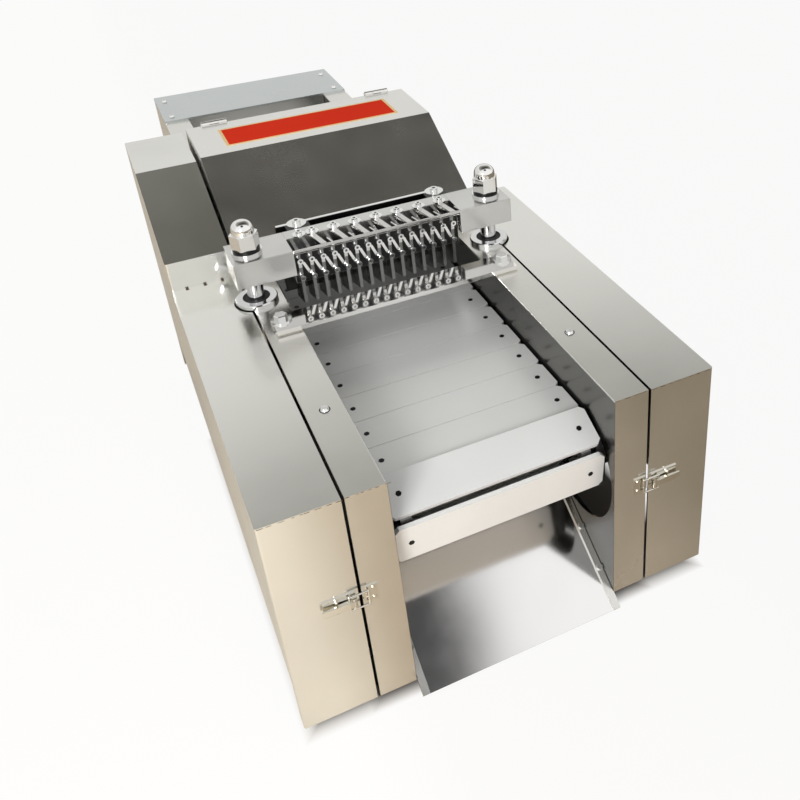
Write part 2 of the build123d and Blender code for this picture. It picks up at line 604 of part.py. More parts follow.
save(crankshaft.part, "crankshaft")

# Connecting rods: big eye on the crank pin, small eye with its wrist pin at the crosshead
BIG_EYE = 18.0
SMALL_EYE = 15.0
WRIST_PIN = 14.0
ROD_LEAN = degrees(asin(CRANK_RADIUS / ROD_LENGTH))
for name, side in SIDES.items():
    with BuildPart() as rod:
        with BuildSketch(side_plane(side * (ROD_IN + ROD_OUT) / 2)):
            with Locations((PIN_Y, CRANK_Z)):
                Circle(BIG_EYE)
            with Locations((BEAM_Y, WRIST_Z)):
                Circle(SMALL_EYE)
            with Locations(Location(((PIN_Y + BEAM_Y) / 2, (CRANK_Z + WRIST_Z) / 2, 0), (0, 0, ROD_LEAN))):
                Rectangle(18.0, ROD_LENGTH)
            with Locations((PIN_Y, CRANK_Z)):
                Circle(CRANK_PIN_DIAMETER / 2 + RUN_FIT, mode=Mode.SUBTRACT)
        extrude(amount=ROD_THICKNESS / 2, both=True)
        with Locations((side * (ROD_OUT + 2.0), BEAM_Y, WRIST_Z)):
            Cylinder(WRIST_PIN / 2, 4.0, rotation=(0, 90, 0))
    save(rod.part, f"{name}_connecting_rod")

# Crossheads: blocks on the feet of the posts, bored for the wrist pins
CROSSHEAD_HALF = ROD_IN - 1.0 - POST_X
CROSSHEAD_HEIGHT = 36.0
SPIGOT_RADIUS = 8.0
SPIGOT_LENGTH = 9.0
with BuildPart() as crossheads:
    for side in SIDES.values():
        with Locations((side * POST_X, BEAM_Y, WRIST_Z)):
            Box(2 * CROSSHEAD_HALF, 36.0, CROSSHEAD_HEIGHT)
    chamfer(crossheads.edges().filter_by(Axis.X), length=5.0)
    for side in SIDES.values():
        with Locations((side * (POST_X + CROSSHEAD_HALF), BEAM_Y, WRIST_Z)):
            Cylinder(WRIST_PIN / 2 + RUN_FIT, 12.0, rotation=(0, 90, 0), mode=Mode.SUBTRACT)
        with Locations((side * POST_X, BEAM_Y, WRIST_Z + CROSSHEAD_HEIGHT / 2)):
            Cylinder(SPIGOT_RADIUS, 2 * SPIGOT_LENGTH, mode=Mode.SUBTRACT)
save(crossheads.part, "crossheads")

# Guide posts: ground bars with a foot spigot in the crosshead and a threaded top
FLAT_WASHER = 4.0
SPRING_WASHER = 5.0
NUT_SEAT = BEAM_TOP + FLAT_WASHER + SPRING_WASHER
NUT_BORE_DEPTH = 20.0
POST_BOTTOM = WRIST_Z + CROSSHEAD_HEIGHT / 2
with BuildPart() as guide_posts:
    with BuildSketch(Plane.XY.offset(POST_BOTTOM - SPIGOT_LENGTH)):
        with Locations(*POST_CENTRES):
            Circle(SPIGOT_RADIUS - RUN_FIT)
    extrude(amount=SPIGOT_LENGTH)
    with BuildSketch(Plane.XY.offset(POST_BOTTOM)):
        with Locations(*POST_CENTRES):
            Circle(POST_DIAMETER / 2)
    extrude(amount=BEAM_BOTTOM - POST_BOTTOM)
    with BuildSketch(Plane.XY.offset(BEAM_BOTTOM)):
        with Locations(*POST_CENTRES):
            Circle(POST_THREAD / 2)
    extrude(amount=NUT_SEAT + NUT_BORE_DEPTH - BEAM_BOTTOM)
save(guide_posts.part, "guide_posts")

# Cutting beam: solid ends, a front rebate with one slot per knife, and the knife holder below
SLOT_WIDTH = 10.0
TOP_BRIDGE = 6.0
HOLDER_DROP = 20.0
HOLDER_HALF = KNIFE_XS[-1] + KNIFE_PITCH / 2
HOLDER_REAR = BEAM_REAR - 2.0
KNIFE_SEAT = BEAM_TOP - 8.0
with BuildPart() as beam:
    with Locations((0, BEAM_Y, (BEAM_BOTTOM + BEAM_TOP) / 2)):
        Box(BEAM_LENGTH, BEAM_DEPTH, BEAM_HEIGHT)
    chamfer(beam.edges().filter_by(Axis.Y).group_by(Axis.Z)[0], length=4.0)
    with Locations((0, (KNIFE_FRONT + HOLDER_REAR) / 2, BEAM_BOTTOM - HOLDER_DROP / 2)):
        Box(2 * HOLDER_HALF, HOLDER_REAR - KNIFE_FRONT, HOLDER_DROP)
    with BuildSketch(Plane.XY.offset(BEAM_BOTTOM)):
        with Locations(*[(x, (BEAM_FRONT + KNIFE_FRONT) / 2) for x in KNIFE_XS]):
            Rectangle(SLOT_WIDTH, KNIFE_FRONT - BEAM_FRONT)
    extrude(amount=BEAM_HEIGHT - TOP_BRIDGE, mode=Mode.SUBTRACT)
    with BuildSketch(Plane.XY.offset(BEAM_BOTTOM - HOLDER_DROP)):
        with Locations(*[(x, (KNIFE_FRONT + KNIFE_REAR) / 2) for x in KNIFE_XS]):
            Rectangle(KNIFE_THICKNESS + 2 * RUN_FIT, KNIFE_DEPTH)
    extrude(amount=KNIFE_SEAT - BEAM_BOTTOM + HOLDER_DROP, mode=Mode.SUBTRACT)
    with BuildSketch(Plane.XY.offset(BEAM_BOTTOM)):
        with Locations(*POST_CENTRES):
            Circle(POST_THREAD / 2 + RUN_FIT)
    extrude(amount=BEAM_HEIGHT, mode=Mode.SUBTRACT)
save(beam.part, "beam")

# Knives: long blades with a raked, pointed foot, seated in the beam's slots
RAKE = 14.0
with BuildPart() as knives:
    with BuildSketch(*[side_plane(x) for x in KNIFE_XS]):
        with BuildLine():
            Polyline(
                (KNIFE_FRONT, KNIFE_TIP + RAKE),
                (KNIFE_FRONT, KNIFE_SEAT),
                (KNIFE_REAR - RUN_FIT, KNIFE_SEAT),
                (KNIFE_REAR - RUN_FIT, KNIFE_TIP),
                close=True,
            )
        make_face()
    extrude(amount=KNIFE_THICKNESS / 2, both=True)
save(knives.part, "knives")

# Knife clamp screws: two rows of socket heads pressed on the front edges of the knives
CLAMP_HEAD = 9.0
CLAMP_LENGTH = 7.0
UPPER_CLAMP_Z = BEAM_TOP - 24.0
LOWER_CLAMP_Z = BEAM_BOTTOM - 12.5
with BuildPart() as knife_clamp_screws:
    with BuildSketch(Plane.XZ.offset(-KNIFE_FRONT)):
        with Locations(*[(x, z) for x in KNIFE_XS for z in (UPPER_CLAMP_Z, LOWER_CLAMP_Z)]):
            RegularPolygon(CLAMP_HEAD / 2, 10)
            RegularPolygon(2.2, 6, mode=Mode.SUBTRACT)
    extrude(amount=CLAMP_LENGTH)
save(knife_clamp_screws.part, "knife_clamp_screws")

# Cross knife: the blade that cuts the strips to length, on two lugs behind the beam
CROSS_HALF = FRAME_IN - 14.0
CROSS_THICKNESS = 8.0
CROSS_FRONT = BEAM_REAR + 18.0
LUG_XS = (-104.0, 121.0)
LUG_WIDTH = 36.0
with BuildPart() as cross_knife:
    with BuildSketch(side_plane(0)):
        with BuildLine():
            Polyline(
                (CROSS_FRONT, BEAM_TOP),
                (CROSS_FRONT + CROSS_THICKNESS, BEAM_TOP),
                (CROSS_FRONT + CROSS_THICKNESS, KNIFE_TIP + 16.0),
                (CROSS_FRONT + 1.0, KNIFE_TIP),
                (CROSS_FRONT, KNIFE_TIP),
                close=True,
            )
        make_face()
    extrude(amount=CROSS_HALF, both=True)
    for lug_x in LUG_XS:
        with Locations((lug_x, (BEAM_REAR + CROSS_FRONT + 1.0) / 2, BEAM_TOP - 12.0)):
            Box(LUG_WIDTH, CROSS_FRONT + 1.0 - BEAM_REAR, 24.0)
save(cross_knife.part, "cross_knife")

# Screws with washers on top of the beam and the cross knife's lugs
TOP_SCREW_Y = BEAM_Y + 13.0
TOP_SCREW_XS = (-110.0, -90.0, -57.0, -24.0, 10.0, 44.0, 80.0, 115.0)
WIDE_WASHER = 30.0
TOP_WASHER = 20.0
with BuildPart() as beam_top_screws:
    with BuildSketch(Plane.XY.offset(BEAM_TOP)):
        with Locations(*[(x, TOP_SCREW_Y) for x in TOP_SCREW_XS]):
            Circle(TOP_WASHER / 2)
        with Locations(*[(x, CROSS_FRONT - 2.0) for x in LUG_XS]):
            Circle(WIDE_WASHER / 2)
    extrude(amount=2.0)
    with BuildSketch(Plane.XY.offset(BEAM_TOP + 2.0)):
        with Locations(*[(x, TOP_SCREW_Y) for x in TOP_SCREW_XS]):
            Circle(4.75)
            RegularPolygon(2.4, 6, mode=Mode.SUBTRACT)
        with Locations(*[(x, CROSS_FRONT - 2.0) for x in LUG_XS]):
            Circle(6.5)
            RegularPolygon(3.2, 6, mode=Mode.SUBTRACT)
    extrude(amount=5.0)
save(beam_top_screws.part, "beam_top_screws")

# Flat washers, spring washers and domed nuts on the post ends
NUT_FLATS = 36.0
NUT_HEX_HEIGHT = 22.0
NUT_HEIGHT = 42.0
DOME_RADIUS = 16.5
with BuildPart() as flat_washers:
    with BuildSketch(Plane.XY.offset(BEAM_TOP)):
        with Locations(*POST_CENTRES):
            Circle(22.0)
            Circle(POST_THREAD / 2 + RUN_FIT, mode=Mode.SUBTRACT)
    extrude(amount=FLAT_WASHER)
save(flat_washers.part, "flat_washers")

with BuildPart() as spring_washers:
    with BuildSketch(Plane.XY.offset(BEAM_TOP + FLAT_WASHER)):
        with Locations(*POST_CENTRES):
            Circle(19.5)
            Circle(POST_THREAD / 2 + RUN_FIT, mode=Mode.SUBTRACT)
            Rectangle(40.0, 2.0, align=(Align.MIN, Align.CENTER), mode=Mode.SUBTRACT)
    extrude(amount=SPRING_WASHER)
save(spring_washers.part, "spring_washers")

with BuildPart() as domed_nuts:
    for x, y in POST_CENTRES:
        with BuildSketch(Plane.XY.offset(NUT_SEAT)):
            with Locations((x, y)):
                RegularPolygon(NUT_FLATS / 2, 6, major_radius=False)
        extrude(amount=NUT_HEX_HEIGHT)
        with Locations((x, y, NUT_SEAT + NUT_HEX_HEIGHT)):
            Cylinder(DOME_RADIUS, NUT_HEIGHT - NUT_HEX_HEIGHT, align=(Align.CENTER, Align.CENTER, Align.MIN))
        fillet(domed_nuts.edges().filter_by(GeomType.CIRCLE).group_by(Axis.Z)[-1], radius=14.0)
        with Locations((x, y, NUT_SEAT)):
            Cylinder(POST_THREAD / 2 + RUN_FIT, 2 * (NUT_BORE_DEPTH + 1.0), mode=Mode.SUBTRACT)
save(domed_nuts.part, "domed_nuts")

# Drive: a motor under the return strand, an upright gearbox in the left tower, belt and chains
MOTOR_HALF = 125.0
INPUT_Z = FRAME_TOP - 57.0
OUTPUT_Z = CRANK_Z
GEARBOX_IN = FRAME_IN + FRAME_SHEET
GEARBOX_OUT = COVER_OUT - 46.0
PULLEY_MID = COVER_OUT - 24.0
PULLEY_WIDTH = 20.0
LARGE_PULLEY = 105.0
SMALL_PULLEY = 38.0
with BuildPart() as motor:
    with Locations((0, MOTOR_Y, CRANK_Z)):
        Cylinder(MOTOR_DIAMETER / 2 - 4.0, 2 * MOTOR_HALF, rotation=(0, 90, 0))
    with BuildSketch(side_plane(20.0)):
        with Locations((MOTOR_Y, CRANK_Z)):
            Circle(MOTOR_DIAMETER / 2 - 5.0)
            with PolarLocations(MOTOR_DIAMETER / 2 - 4.0, 20):
                Rectangle(10.0, 2.5)
    extrude(amount=80.0, both=True)
    with Locations((20.0, MOTOR_Y, (PLINTH + CRANK_Z - 60.0) / 2)):
        Box(140.0, 120.0, CRANK_Z - 60.0 - PLINTH)
    with Locations((0, MOTOR_Y, CRANK_Z)):
        Cylinder(12.0 + RUN_FIT, 4 * MOTOR_HALF, rotation=(0, 90, 0), mode=Mode.SUBTRACT)
save(motor.part, "motor")

# Upright gearbox: belt-driven input shaft at the top, output shaft at the bottom
GEARBOX_HALF = 46.0
with BuildPart() as gearbox:
    gear_mid = -(GEARBOX_IN + GEARBOX_OUT) / 2
    with BuildSketch(side_plane(gear_mid)):
        with Locations((GEARBOX_Y, (INPUT_Z + OUTPUT_Z) / 2)):
            SlotOverall(INPUT_Z - OUTPUT_Z + 2 * GEARBOX_HALF, 2 * GEARBOX_HALF, rotation=90)
    extrude(amount=(GEARBOX_OUT - GEARBOX_IN) / 2, both=True)
    chamfer(gearbox.faces().sort_by(Axis.X)[0].edges(), length=5.0)
    for shaft_z in (INPUT_Z, OUTPUT_Z):
        with Locations((gear_mid, GEARBOX_Y, shaft_z)):
            Cylinder(12.0 + RUN_FIT, GEARBOX_OUT, rotation=(0, 90, 0), mode=Mode.SUBTRACT)
save(gearbox.part, "gearbox")


def vee_pulley(y, z, radius, bore_in):
    """A grooved pulley about the X axis at the belt's plane, with its shaft inwards to bore_in."""
    with BuildPart(mode=Mode.PRIVATE) as pulley:
        with Locations((-PULLEY_MID, y, z)):
            Cylinder(radius, PULLEY_WIDTH, rotation=(0, 90, 0))
        with BuildSketch(Plane(origin=(-PULLEY_MID, y, z), x_dir=(0, 1, 0), z_dir=(0, 0, 1))):
            with Locations((radius, 0)):
                Trapezoid(20.0, 2 * BELT_SINK, 72, rotation=90)
        revolve(axis=Axis((0, y, z), (1, 0, 0)), mode=Mode.SUBTRACT)
        with Locations((-(PULLEY_MID + bore_in) / 2, y, z)):
            Cylinder(12.0, PULLEY_MID - bore_in, rotation=(0, 90, 0))
    return pulley.part


# Belt pulleys: a small one on the motor's shaft and a large spoked one on the gearbox
BELT_SINK = 9.0
BELT_WIDTH = 7.5
BELT_HEIGHT = 7.0
BELT_GAP = 0.6
with BuildPart() as motor_pulley:
    add(vee_pulley(MOTOR_Y, CRANK_Z, SMALL_PULLEY, MOTOR_HALF - 20.0))
save(motor_pulley.part, "motor_pulley")

with BuildPart() as input_pulley:
    add(vee_pulley(GEARBOX_Y, INPUT_Z, LARGE_PULLEY, GEARBOX_IN + 12.0))
    with BuildSketch(side_plane(-PULLEY_MID)):
        with Locations((GEARBOX_Y, INPUT_Z)):
            with PolarLocations(LARGE_PULLEY * 0.55, 5):
                Circle(17.0)
    extrude(amount=PULLEY_WIDTH, both=True, mode=Mode.SUBTRACT)
save(input_pulley.part, "input_pulley")


def loop_outline(y1, z1, r1, y2, z2, r2):
    """Outline of an open belt or chain around two wheels of a side plane."""
    gap = sqrt((y2 - y1) ** 2 + (z2 - z1) ** 2)
    heading = atan2(z2 - z1, y2 - y1)
    swing = asin((r1 - r2) / gap)
    corners = []
    for turn in (1, -1):
        tangent = heading + turn * (pi / 2 - swing)
        corners.append((y1 + r1 * cos(tangent), z1 + r1 * sin(tangent)))
        corners.append((y2 + r2 * cos(tangent), z2 + r2 * sin(tangent)))
    with Locations((y1, z1)):
        Circle(r1)
    with Locations((y2, z2)):
        Circle(r2)
    with BuildLine(mode=Mode.PRIVATE) as flanks:
        Polyline(corners[0], corners[1], corners[3], corners[2], close=True)
    add(make_face(flanks.line, mode=Mode.PRIVATE))


CHAIN_CLEAR = 0.5
CHAIN_BAND = 8.0
belt_small = SMALL_PULLEY - BELT_SINK + BELT_GAP
belt_large = LARGE_PULLEY - BELT_SINK + BELT_GAP
with BuildPart() as v_belt:
    with BuildSketch(side_plane(-PULLEY_MID)):
        loop_outline(
            MOTOR_Y, CRANK_Z, belt_small + BELT_HEIGHT, GEARBOX_Y, INPUT_Z, belt_large + BELT_HEIGHT
        )
    extrude(amount=BELT_WIDTH / 2, both=True)
    with BuildSketch(side_plane(-PULLEY_MID)):
        loop_outline(MOTOR_Y, CRANK_Z, belt_small, GEARBOX_Y, INPUT_Z, belt_large)
    extrude(amount=BELT_WIDTH / 2, both=True, mode=Mode.SUBTRACT)
save(v_belt.part, "v_belt")

drive_inner = DRIVE_SPROCKET + CHAIN_CLEAR
with BuildPart() as main_drive_chain:
    with BuildSketch(side_plane(DRIVE_X)):
        with Locations(((BEAM_Y + GEARBOX_Y) / 2, CRANK_Z)):
            reach = GEARBOX_Y - BEAM_Y
            SlotOverall(reach + 2 * (drive_inner + CHAIN_BAND), 2 * (drive_inner + CHAIN_BAND))
            SlotOverall(reach + 2 * drive_inner, 2 * drive_inner, mode=Mode.SUBTRACT)
    extrude(amount=DRIVE_WIDTH, both=True)
save(main_drive_chain.part, "main_drive_chain")

feed_small = FEED_SMALL + CHAIN_CLEAR
feed_large = FEED_LARGE + CHAIN_CLEAR
with BuildPart() as feed_drive_chain:
    with BuildSketch(side_plane(FEED_X)):
        loop_outline(
            GEARBOX_Y, CRANK_Z, feed_small + CHAIN_BAND, REAR_DRUM_Y, DRUM_Z, feed_large + CHAIN_BAND
        )
    extrude(amount=DRIVE_WIDTH - 1.0, both=True)
    with BuildSketch(side_plane(FEED_X)):
        loop_outline(GEARBOX_Y, CRANK_Z, feed_small, REAR_DRUM_Y, DRUM_Z, feed_large)
    extrude(amount=DRIVE_WIDTH, both=True, mode=Mode.SUBTRACT)
save(feed_drive_chain.part, "feed_drive_chain")

# Gearbox output shaft: crosses the machine with a sprocket for the crank and one for the feed
with BuildPart() as output_shaft:
    with Locations(((FEED_X + 4.0 - GEARBOX_IN - 12.0) / 2, GEARBOX_Y, CRANK_Z)):
        Cylinder(12.0, FEED_X + 4.0 + GEARBOX_IN + 12.0, rotation=(0, 90, 0))
    with BuildSketch(side_plane(DRIVE_X)):
        sprocket_outline(GEARBOX_Y, CRANK_Z, DRIVE_SPROCKET, DRIVE_SPROCKET - 6.0, 20)
    extrude(amount=DRIVE_WIDTH / 2, both=True)
    with BuildSketch(side_plane(FEED_X)):
        sprocket_outline(GEARBOX_Y, CRANK_Z, FEED_SMALL, FEED_SMALL - 5.0, 12)
    extrude(amount=DRIVE_WIDTH / 2, both=True)
save(output_shaft.part, "output_shaft")

# Infeed portal: the fixed plate behind the hood, open below for the food
PORTAL_SHEET = 3.0
PORTAL_Y = HOOD_REAR + 3.0
PORTAL_TOP = HOOD_TOP - 8.0
HOOD_AXIS_Y = HOOD_REAR + 2.5
HOOD_AXIS_Z = HOOD_TOP + 1.0
HINGE_XS = (-150.0, 150.0)
HINGE_SPAN = 44.0
with BuildPart() as infeed_portal:
    with BuildSketch(Plane.XZ.offset(-(PORTAL_Y + PORTAL_SHEET))):
        with Locations((0, FRAME_TOP)):
            Rectangle(2 * HOOD_X, PORTAL_TOP - FRAME_TOP, align=(Align.CENTER, Align.MIN))
            Rectangle(CHANNEL - 10.0, 90.0, align=(Align.CENTER, Align.MIN), mode=Mode.SUBTRACT)
    extrude(amount=PORTAL_SHEET)
    with Locations((0, PORTAL_Y + PORTAL_SHEET + 7.0, FRAME_TOP + PORTAL_SHEET / 2)):
        Box(2 * HOOD_X, 14.0, PORTAL_SHEET)
        Box(CHANNEL - 10.0, 14.0, PORTAL_SHEET, mode=Mode.SUBTRACT)
    for hinge_x in HINGE_XS:
        with Locations((hinge_x, HOOD_AXIS_Y + 2.0, (PORTAL_TOP - 6.0 + HOOD_AXIS_Z) / 2)):
            Box(HINGE_SPAN / 3, 3.0, HOOD_AXIS_Z - PORTAL_TOP + 6.0)
        with Locations((hinge_x, HOOD_AXIS_Y, HOOD_AXIS_Z)):
            Cylinder(HINGE_BARREL / 2, HINGE_SPAN / 3, rotation=(0, 90, 0))
            Cylinder(HINGE_PIN / 2, HINGE_SPAN / 2, rotation=(0, 90, 0), mode=Mode.SUBTRACT)
save(infeed_portal.part, "infeed_portal")

with BuildPart() as hood_hinge_pins:
    for hinge_x in HINGE_XS:
        with Locations((hinge_x, HOOD_AXIS_Y, HOOD_AXIS_Z)):
            Cylinder(HINGE_PIN / 2, HINGE_SPAN + 2.0, rotation=(0, 90, 0))
save(hood_hinge_pins.part, "hood_hinge_pins")

# Hood: a folded sheet over the conveyor behind the knives, open below and at the rear
with BuildPart() as hood:
    with BuildSketch(side_plane(0)):
        with BuildLine():
            Polyline(
                (HOOD_FRONT, HOOD_BASE),
                (HOOD_FRONT, HOOD_BROW),
                (HOOD_SLOPE_END, HOOD_TOP),
                (HOOD_REAR, HOOD_TOP),
                (HOOD_REAR, HOOD_BASE),
                close=True,
            )
        make_face()
    extrude(amount=HOOD_X, both=True)
    fillet(hood.edges().filter_by(Axis.X).group_by(Axis.Z)[1:], radius=SHEET_RADIUS)
    with BuildSketch(side_plane(0)):
        with BuildLine():
            Polyline(
                (HOOD_FRONT, HOOD_BASE),
                (HOOD_FRONT, HOOD_BROW),
                (HOOD_SLOPE_END, HOOD_TOP),
                (HOOD_REAR, HOOD_TOP),
                (HOOD_REAR, HOOD_BASE),
                close=True,
            )
        make_face()
        offset(amount=-COVER_SHEET, kind=Kind.INTERSECTION, mode=Mode.REPLACE)
        with Locations(((HOOD_FRONT + HOOD_REAR) / 2, HOOD_BASE)):
            Rectangle(HOOD_REAR - HOOD_FRONT - 2 * COVER_SHEET, 4 * COVER_SHEET)
        with Locations((HOOD_REAR, HOOD_BASE)):
            Rectangle(
                4 * COVER_SHEET, HOOD_TOP - HOOD_BASE - COVER_SHEET, align=(Align.CENTER, Align.MIN)
            )
    extrude(amount=HOOD_X - COVER_SHEET, both=True, mode=Mode.SUBTRACT)
    for hinge_x in HINGE_XS:
        with Locations((hinge_x, HOOD_REAR, HOOD_TOP)):
            Box(HINGE_SPAN / 3 + 1.2, 6.0, 3 * COVER_SHEET, mode=Mode.SUBTRACT)
    for hinge_x in HINGE_XS:
        for end in (-1, 1):
            with Locations((hinge_x + end * HINGE_SPAN / 3, HOOD_AXIS_Y - 2.5, HOOD_TOP - 0.5)):
                Box(HINGE_SPAN / 3 - 0.6, 5.0, 3.0)
            with Locations((hinge_x + end * HINGE_SPAN / 3, HOOD_AXIS_Y, HOOD_AXIS_Z)):
                Cylinder(HINGE_BARREL / 2, HINGE_SPAN / 3 - 0.6, rotation=(0, 90, 0))
        with Locations((hinge_x, HOOD_AXIS_Y, HOOD_AXIS_Z)):
            Cylinder(HINGE_PIN / 2 + RUN_FIT, HINGE_SPAN + 6.0, rotation=(0, 90, 0), mode=Mode.SUBTRACT)
save(hood.part, "hood")

# Side covers: folded sheets, open towards the frames; the left one carries the drive tower
COVER_HINGE_Y = 5.0
COVER_HINGE_X = COVER_IN + 4.5
NOTCH_RADIUS = BUSH_FLANGE / 2 + 2.5
HINGE_LOW = FRAME_TOP - 285.0
HINGE_HIGH = FRAME_TOP - 45.0
KNUCKLE = 30.0
TOWER_BOLT_X = -COVER_IN - 17.0


def side_cover(side, length, profile):
    """One side cover from its side profile, with the recessed lower edge, bush notch and knuckles."""
    with BuildPart() as cover:
        with BuildSketch(side_plane(side * (COVER_IN + COVER_OUT) / 2)):
            with BuildLine():
                Polyline(*profile, close=True)
            make_face()
        extrude(amount=(COVER_OUT - COVER_IN) / 2, both=True)
        outer_bends = cover.edges().filter_by(Axis.Z).group_by(Axis.X)[0 if side < 0 else -1]
        fillet(outer_bends, radius=SHEET_RADIUS + 1.0)
        with BuildSketch(side_plane(side * (COVER_IN + COVER_OUT - 2 * COVER_SHEET) / 2)):
            with BuildLine():
                Polyline(*profile, close=True)
            make_face()
            offset(amount=-COVER_SHEET, kind=Kind.INTERSECTION, mode=Mode.REPLACE)
            with Locations((length / 2, PLINTH)):
                Rectangle(length - 2 * COVER_SHEET, 4 * COVER_SHEET)
        extrude(amount=(COVER_OUT - COVER_IN) / 2, both=True, mode=Mode.SUBTRACT)
        with Locations((side * COVER_OUT, length / 2, PLINTH)):
            Box(4 * COVER_SHEET, length - 40.0, 2 * SIDE_RECESS, mode=Mode.SUBTRACT)
        with Locations((side * POST_X, BEAM_Y, COVER_TOP)):
            Cylinder(NOTCH_RADIUS, 8.0, mode=Mode.SUBTRACT)
        for knuckle_z in (HINGE_LOW, HINGE_HIGH):
            with Locations((side * (COVER_HINGE_X + 1.0), length + COVER_HINGE_Y / 2, knuckle_z)):
                Box(5.0, COVER_HINGE_Y, KNUCKLE)
            with Locations((side * COVER_HINGE_X, length + COVER_HINGE_Y, knuckle_z)):
                Cylinder(HINGE_BARREL / 2, KNUCKLE)
                Cylinder(HINGE_PIN / 2 + RUN_FIT, 2 * KNUCKLE, mode=Mode.SUBTRACT)
        latch_holes(side)
    return cover.part


def latch_holes(side):
    """Two rivet holes of the latch base in a cover's front wall."""
    with Locations(*[(side * LATCH_RIVET_X, 0, LATCH_Z + dz) for dz in (-LATCH_RIVET_Z, LATCH_RIVET_Z)]):
        Cylinder(1.5, 4 * COVER_SHEET, rotation=(90, 0, 0), mode=Mode.SUBTRACT)


# Latch sizes, shared by both sides
LATCH_Z = PLINTH + 188.0
LATCH_AXIS_X = COVER_IN + 7.0
LATCH_AXIS_Y = -6.0
LATCH_RIVET_X = COVER_IN + 28.0
LATCH_RIVET_Z = 9.0
LATCH_PLATE = 2.0
LEVER_HALF = 4.2
LEVER_TIP_X = COVER_IN + 46.0
EAR_IN = 4.5
EAR_OUT = 8.0
EYE_OFFSET = 6.0
BAIL_WIRE = 3.0
BAIL_HALF = 11.0
BAIL_REACH = 24.0

left_profile = [
    (0, PLINTH),
    (0, COVER_TOP),
    (STEP_Y, COVER_TOP),
    (STEP_Y, LEDGE_Z),
    (TOWER_SLOPE_END, TOWER_TOP),
    (LEFT_COVER_LENGTH, TOWER_TOP),
    (LEFT_COVER_LENGTH, PLINTH),
]
right_profile = [
    (0, PLINTH),
    (0, COVER_TOP),
    (RIGHT_COVER_LENGTH, COVER_TOP),
    (RIGHT_COVER_LENGTH, PLINTH),
]
save(side_cover(-1, LEFT_COVER_LENGTH, left_profile), "left_cover")
save(side_cover(1, RIGHT_COVER_LENGTH, right_profile), "right_cover")

# Tower bolt: holds the step of the left cover
with BuildPart() as tower_bolt:
    with BuildSketch(Plane.XZ.offset(-STEP_Y)):
        with Locations((TOWER_BOLT_X, FRAME_TOP + 20.0)):
            RegularPolygon(8.0, 6, major_radius=False)
    extrude(amount=6.0)
save(tower_bolt.part, "tower_bolt")

# Cover hinges: leaves on the side frames and one pin each
with BuildPart() as cover_hinges:
    for side, length in ((-1, LEFT_COVER_LENGTH), (1, RIGHT_COVER_LENGTH)):
        pin_y = length + COVER_HINGE_Y
        for knuckle_z in (HINGE_LOW, HINGE_HIGH):
            for end in (-1, 1):
                barrel_z = knuckle_z + end * (KNUCKLE + 0.6)
                with Locations((side * COVER_HINGE_X, pin_y, barrel_z)):
                    Cylinder(HINGE_BARREL / 2, KNUCKLE)
                with Locations((side * (FRAME_OUT + COVER_HINGE_X) / 2, pin_y + 2.5, barrel_z)):
                    Box(COVER_HINGE_X - FRAME_OUT, 4.0, KNUCKLE)
            with Locations((side * (FRAME_OUT + 1.25), pin_y + 12.0, knuckle_z)):
                Box(2.5, 23.0, 3 * KNUCKLE)
            with Locations((side * COVER_HINGE_X, pin_y, knuckle_z)):
                Cylinder(HINGE_PIN / 2, 3 * KNUCKLE)
save(cover_hinges.part, "cover_hinges")

# Latch strikes: ribbed plates on the side frames, each with two rivets
STRIKE_IN = FRAME_OUT - 19.5
STRIKE_OUT = FRAME_OUT - 1.0
with BuildPart() as latch_strikes:
    for side in SIDES.values():
        with Locations((side * (STRIKE_IN + STRIKE_OUT) / 2, -LATCH_PLATE / 2, LATCH_Z)):
            Box(STRIKE_OUT - STRIKE_IN, LATCH_PLATE, 26.0)
        with Locations((side * (STRIKE_OUT - 1.25), -LATCH_PLATE, LATCH_Z)):
            Box(2.5, 3.6, 14.0)
        with Locations(*[(side * (STRIKE_IN + 5.5), -LATCH_PLATE, LATCH_Z + dz) for dz in (-8.0, 8.0)]):
            Cylinder(2.6, 2.4, rotation=(90, 0, 0))
save(latch_strikes.part, "latch_strikes")

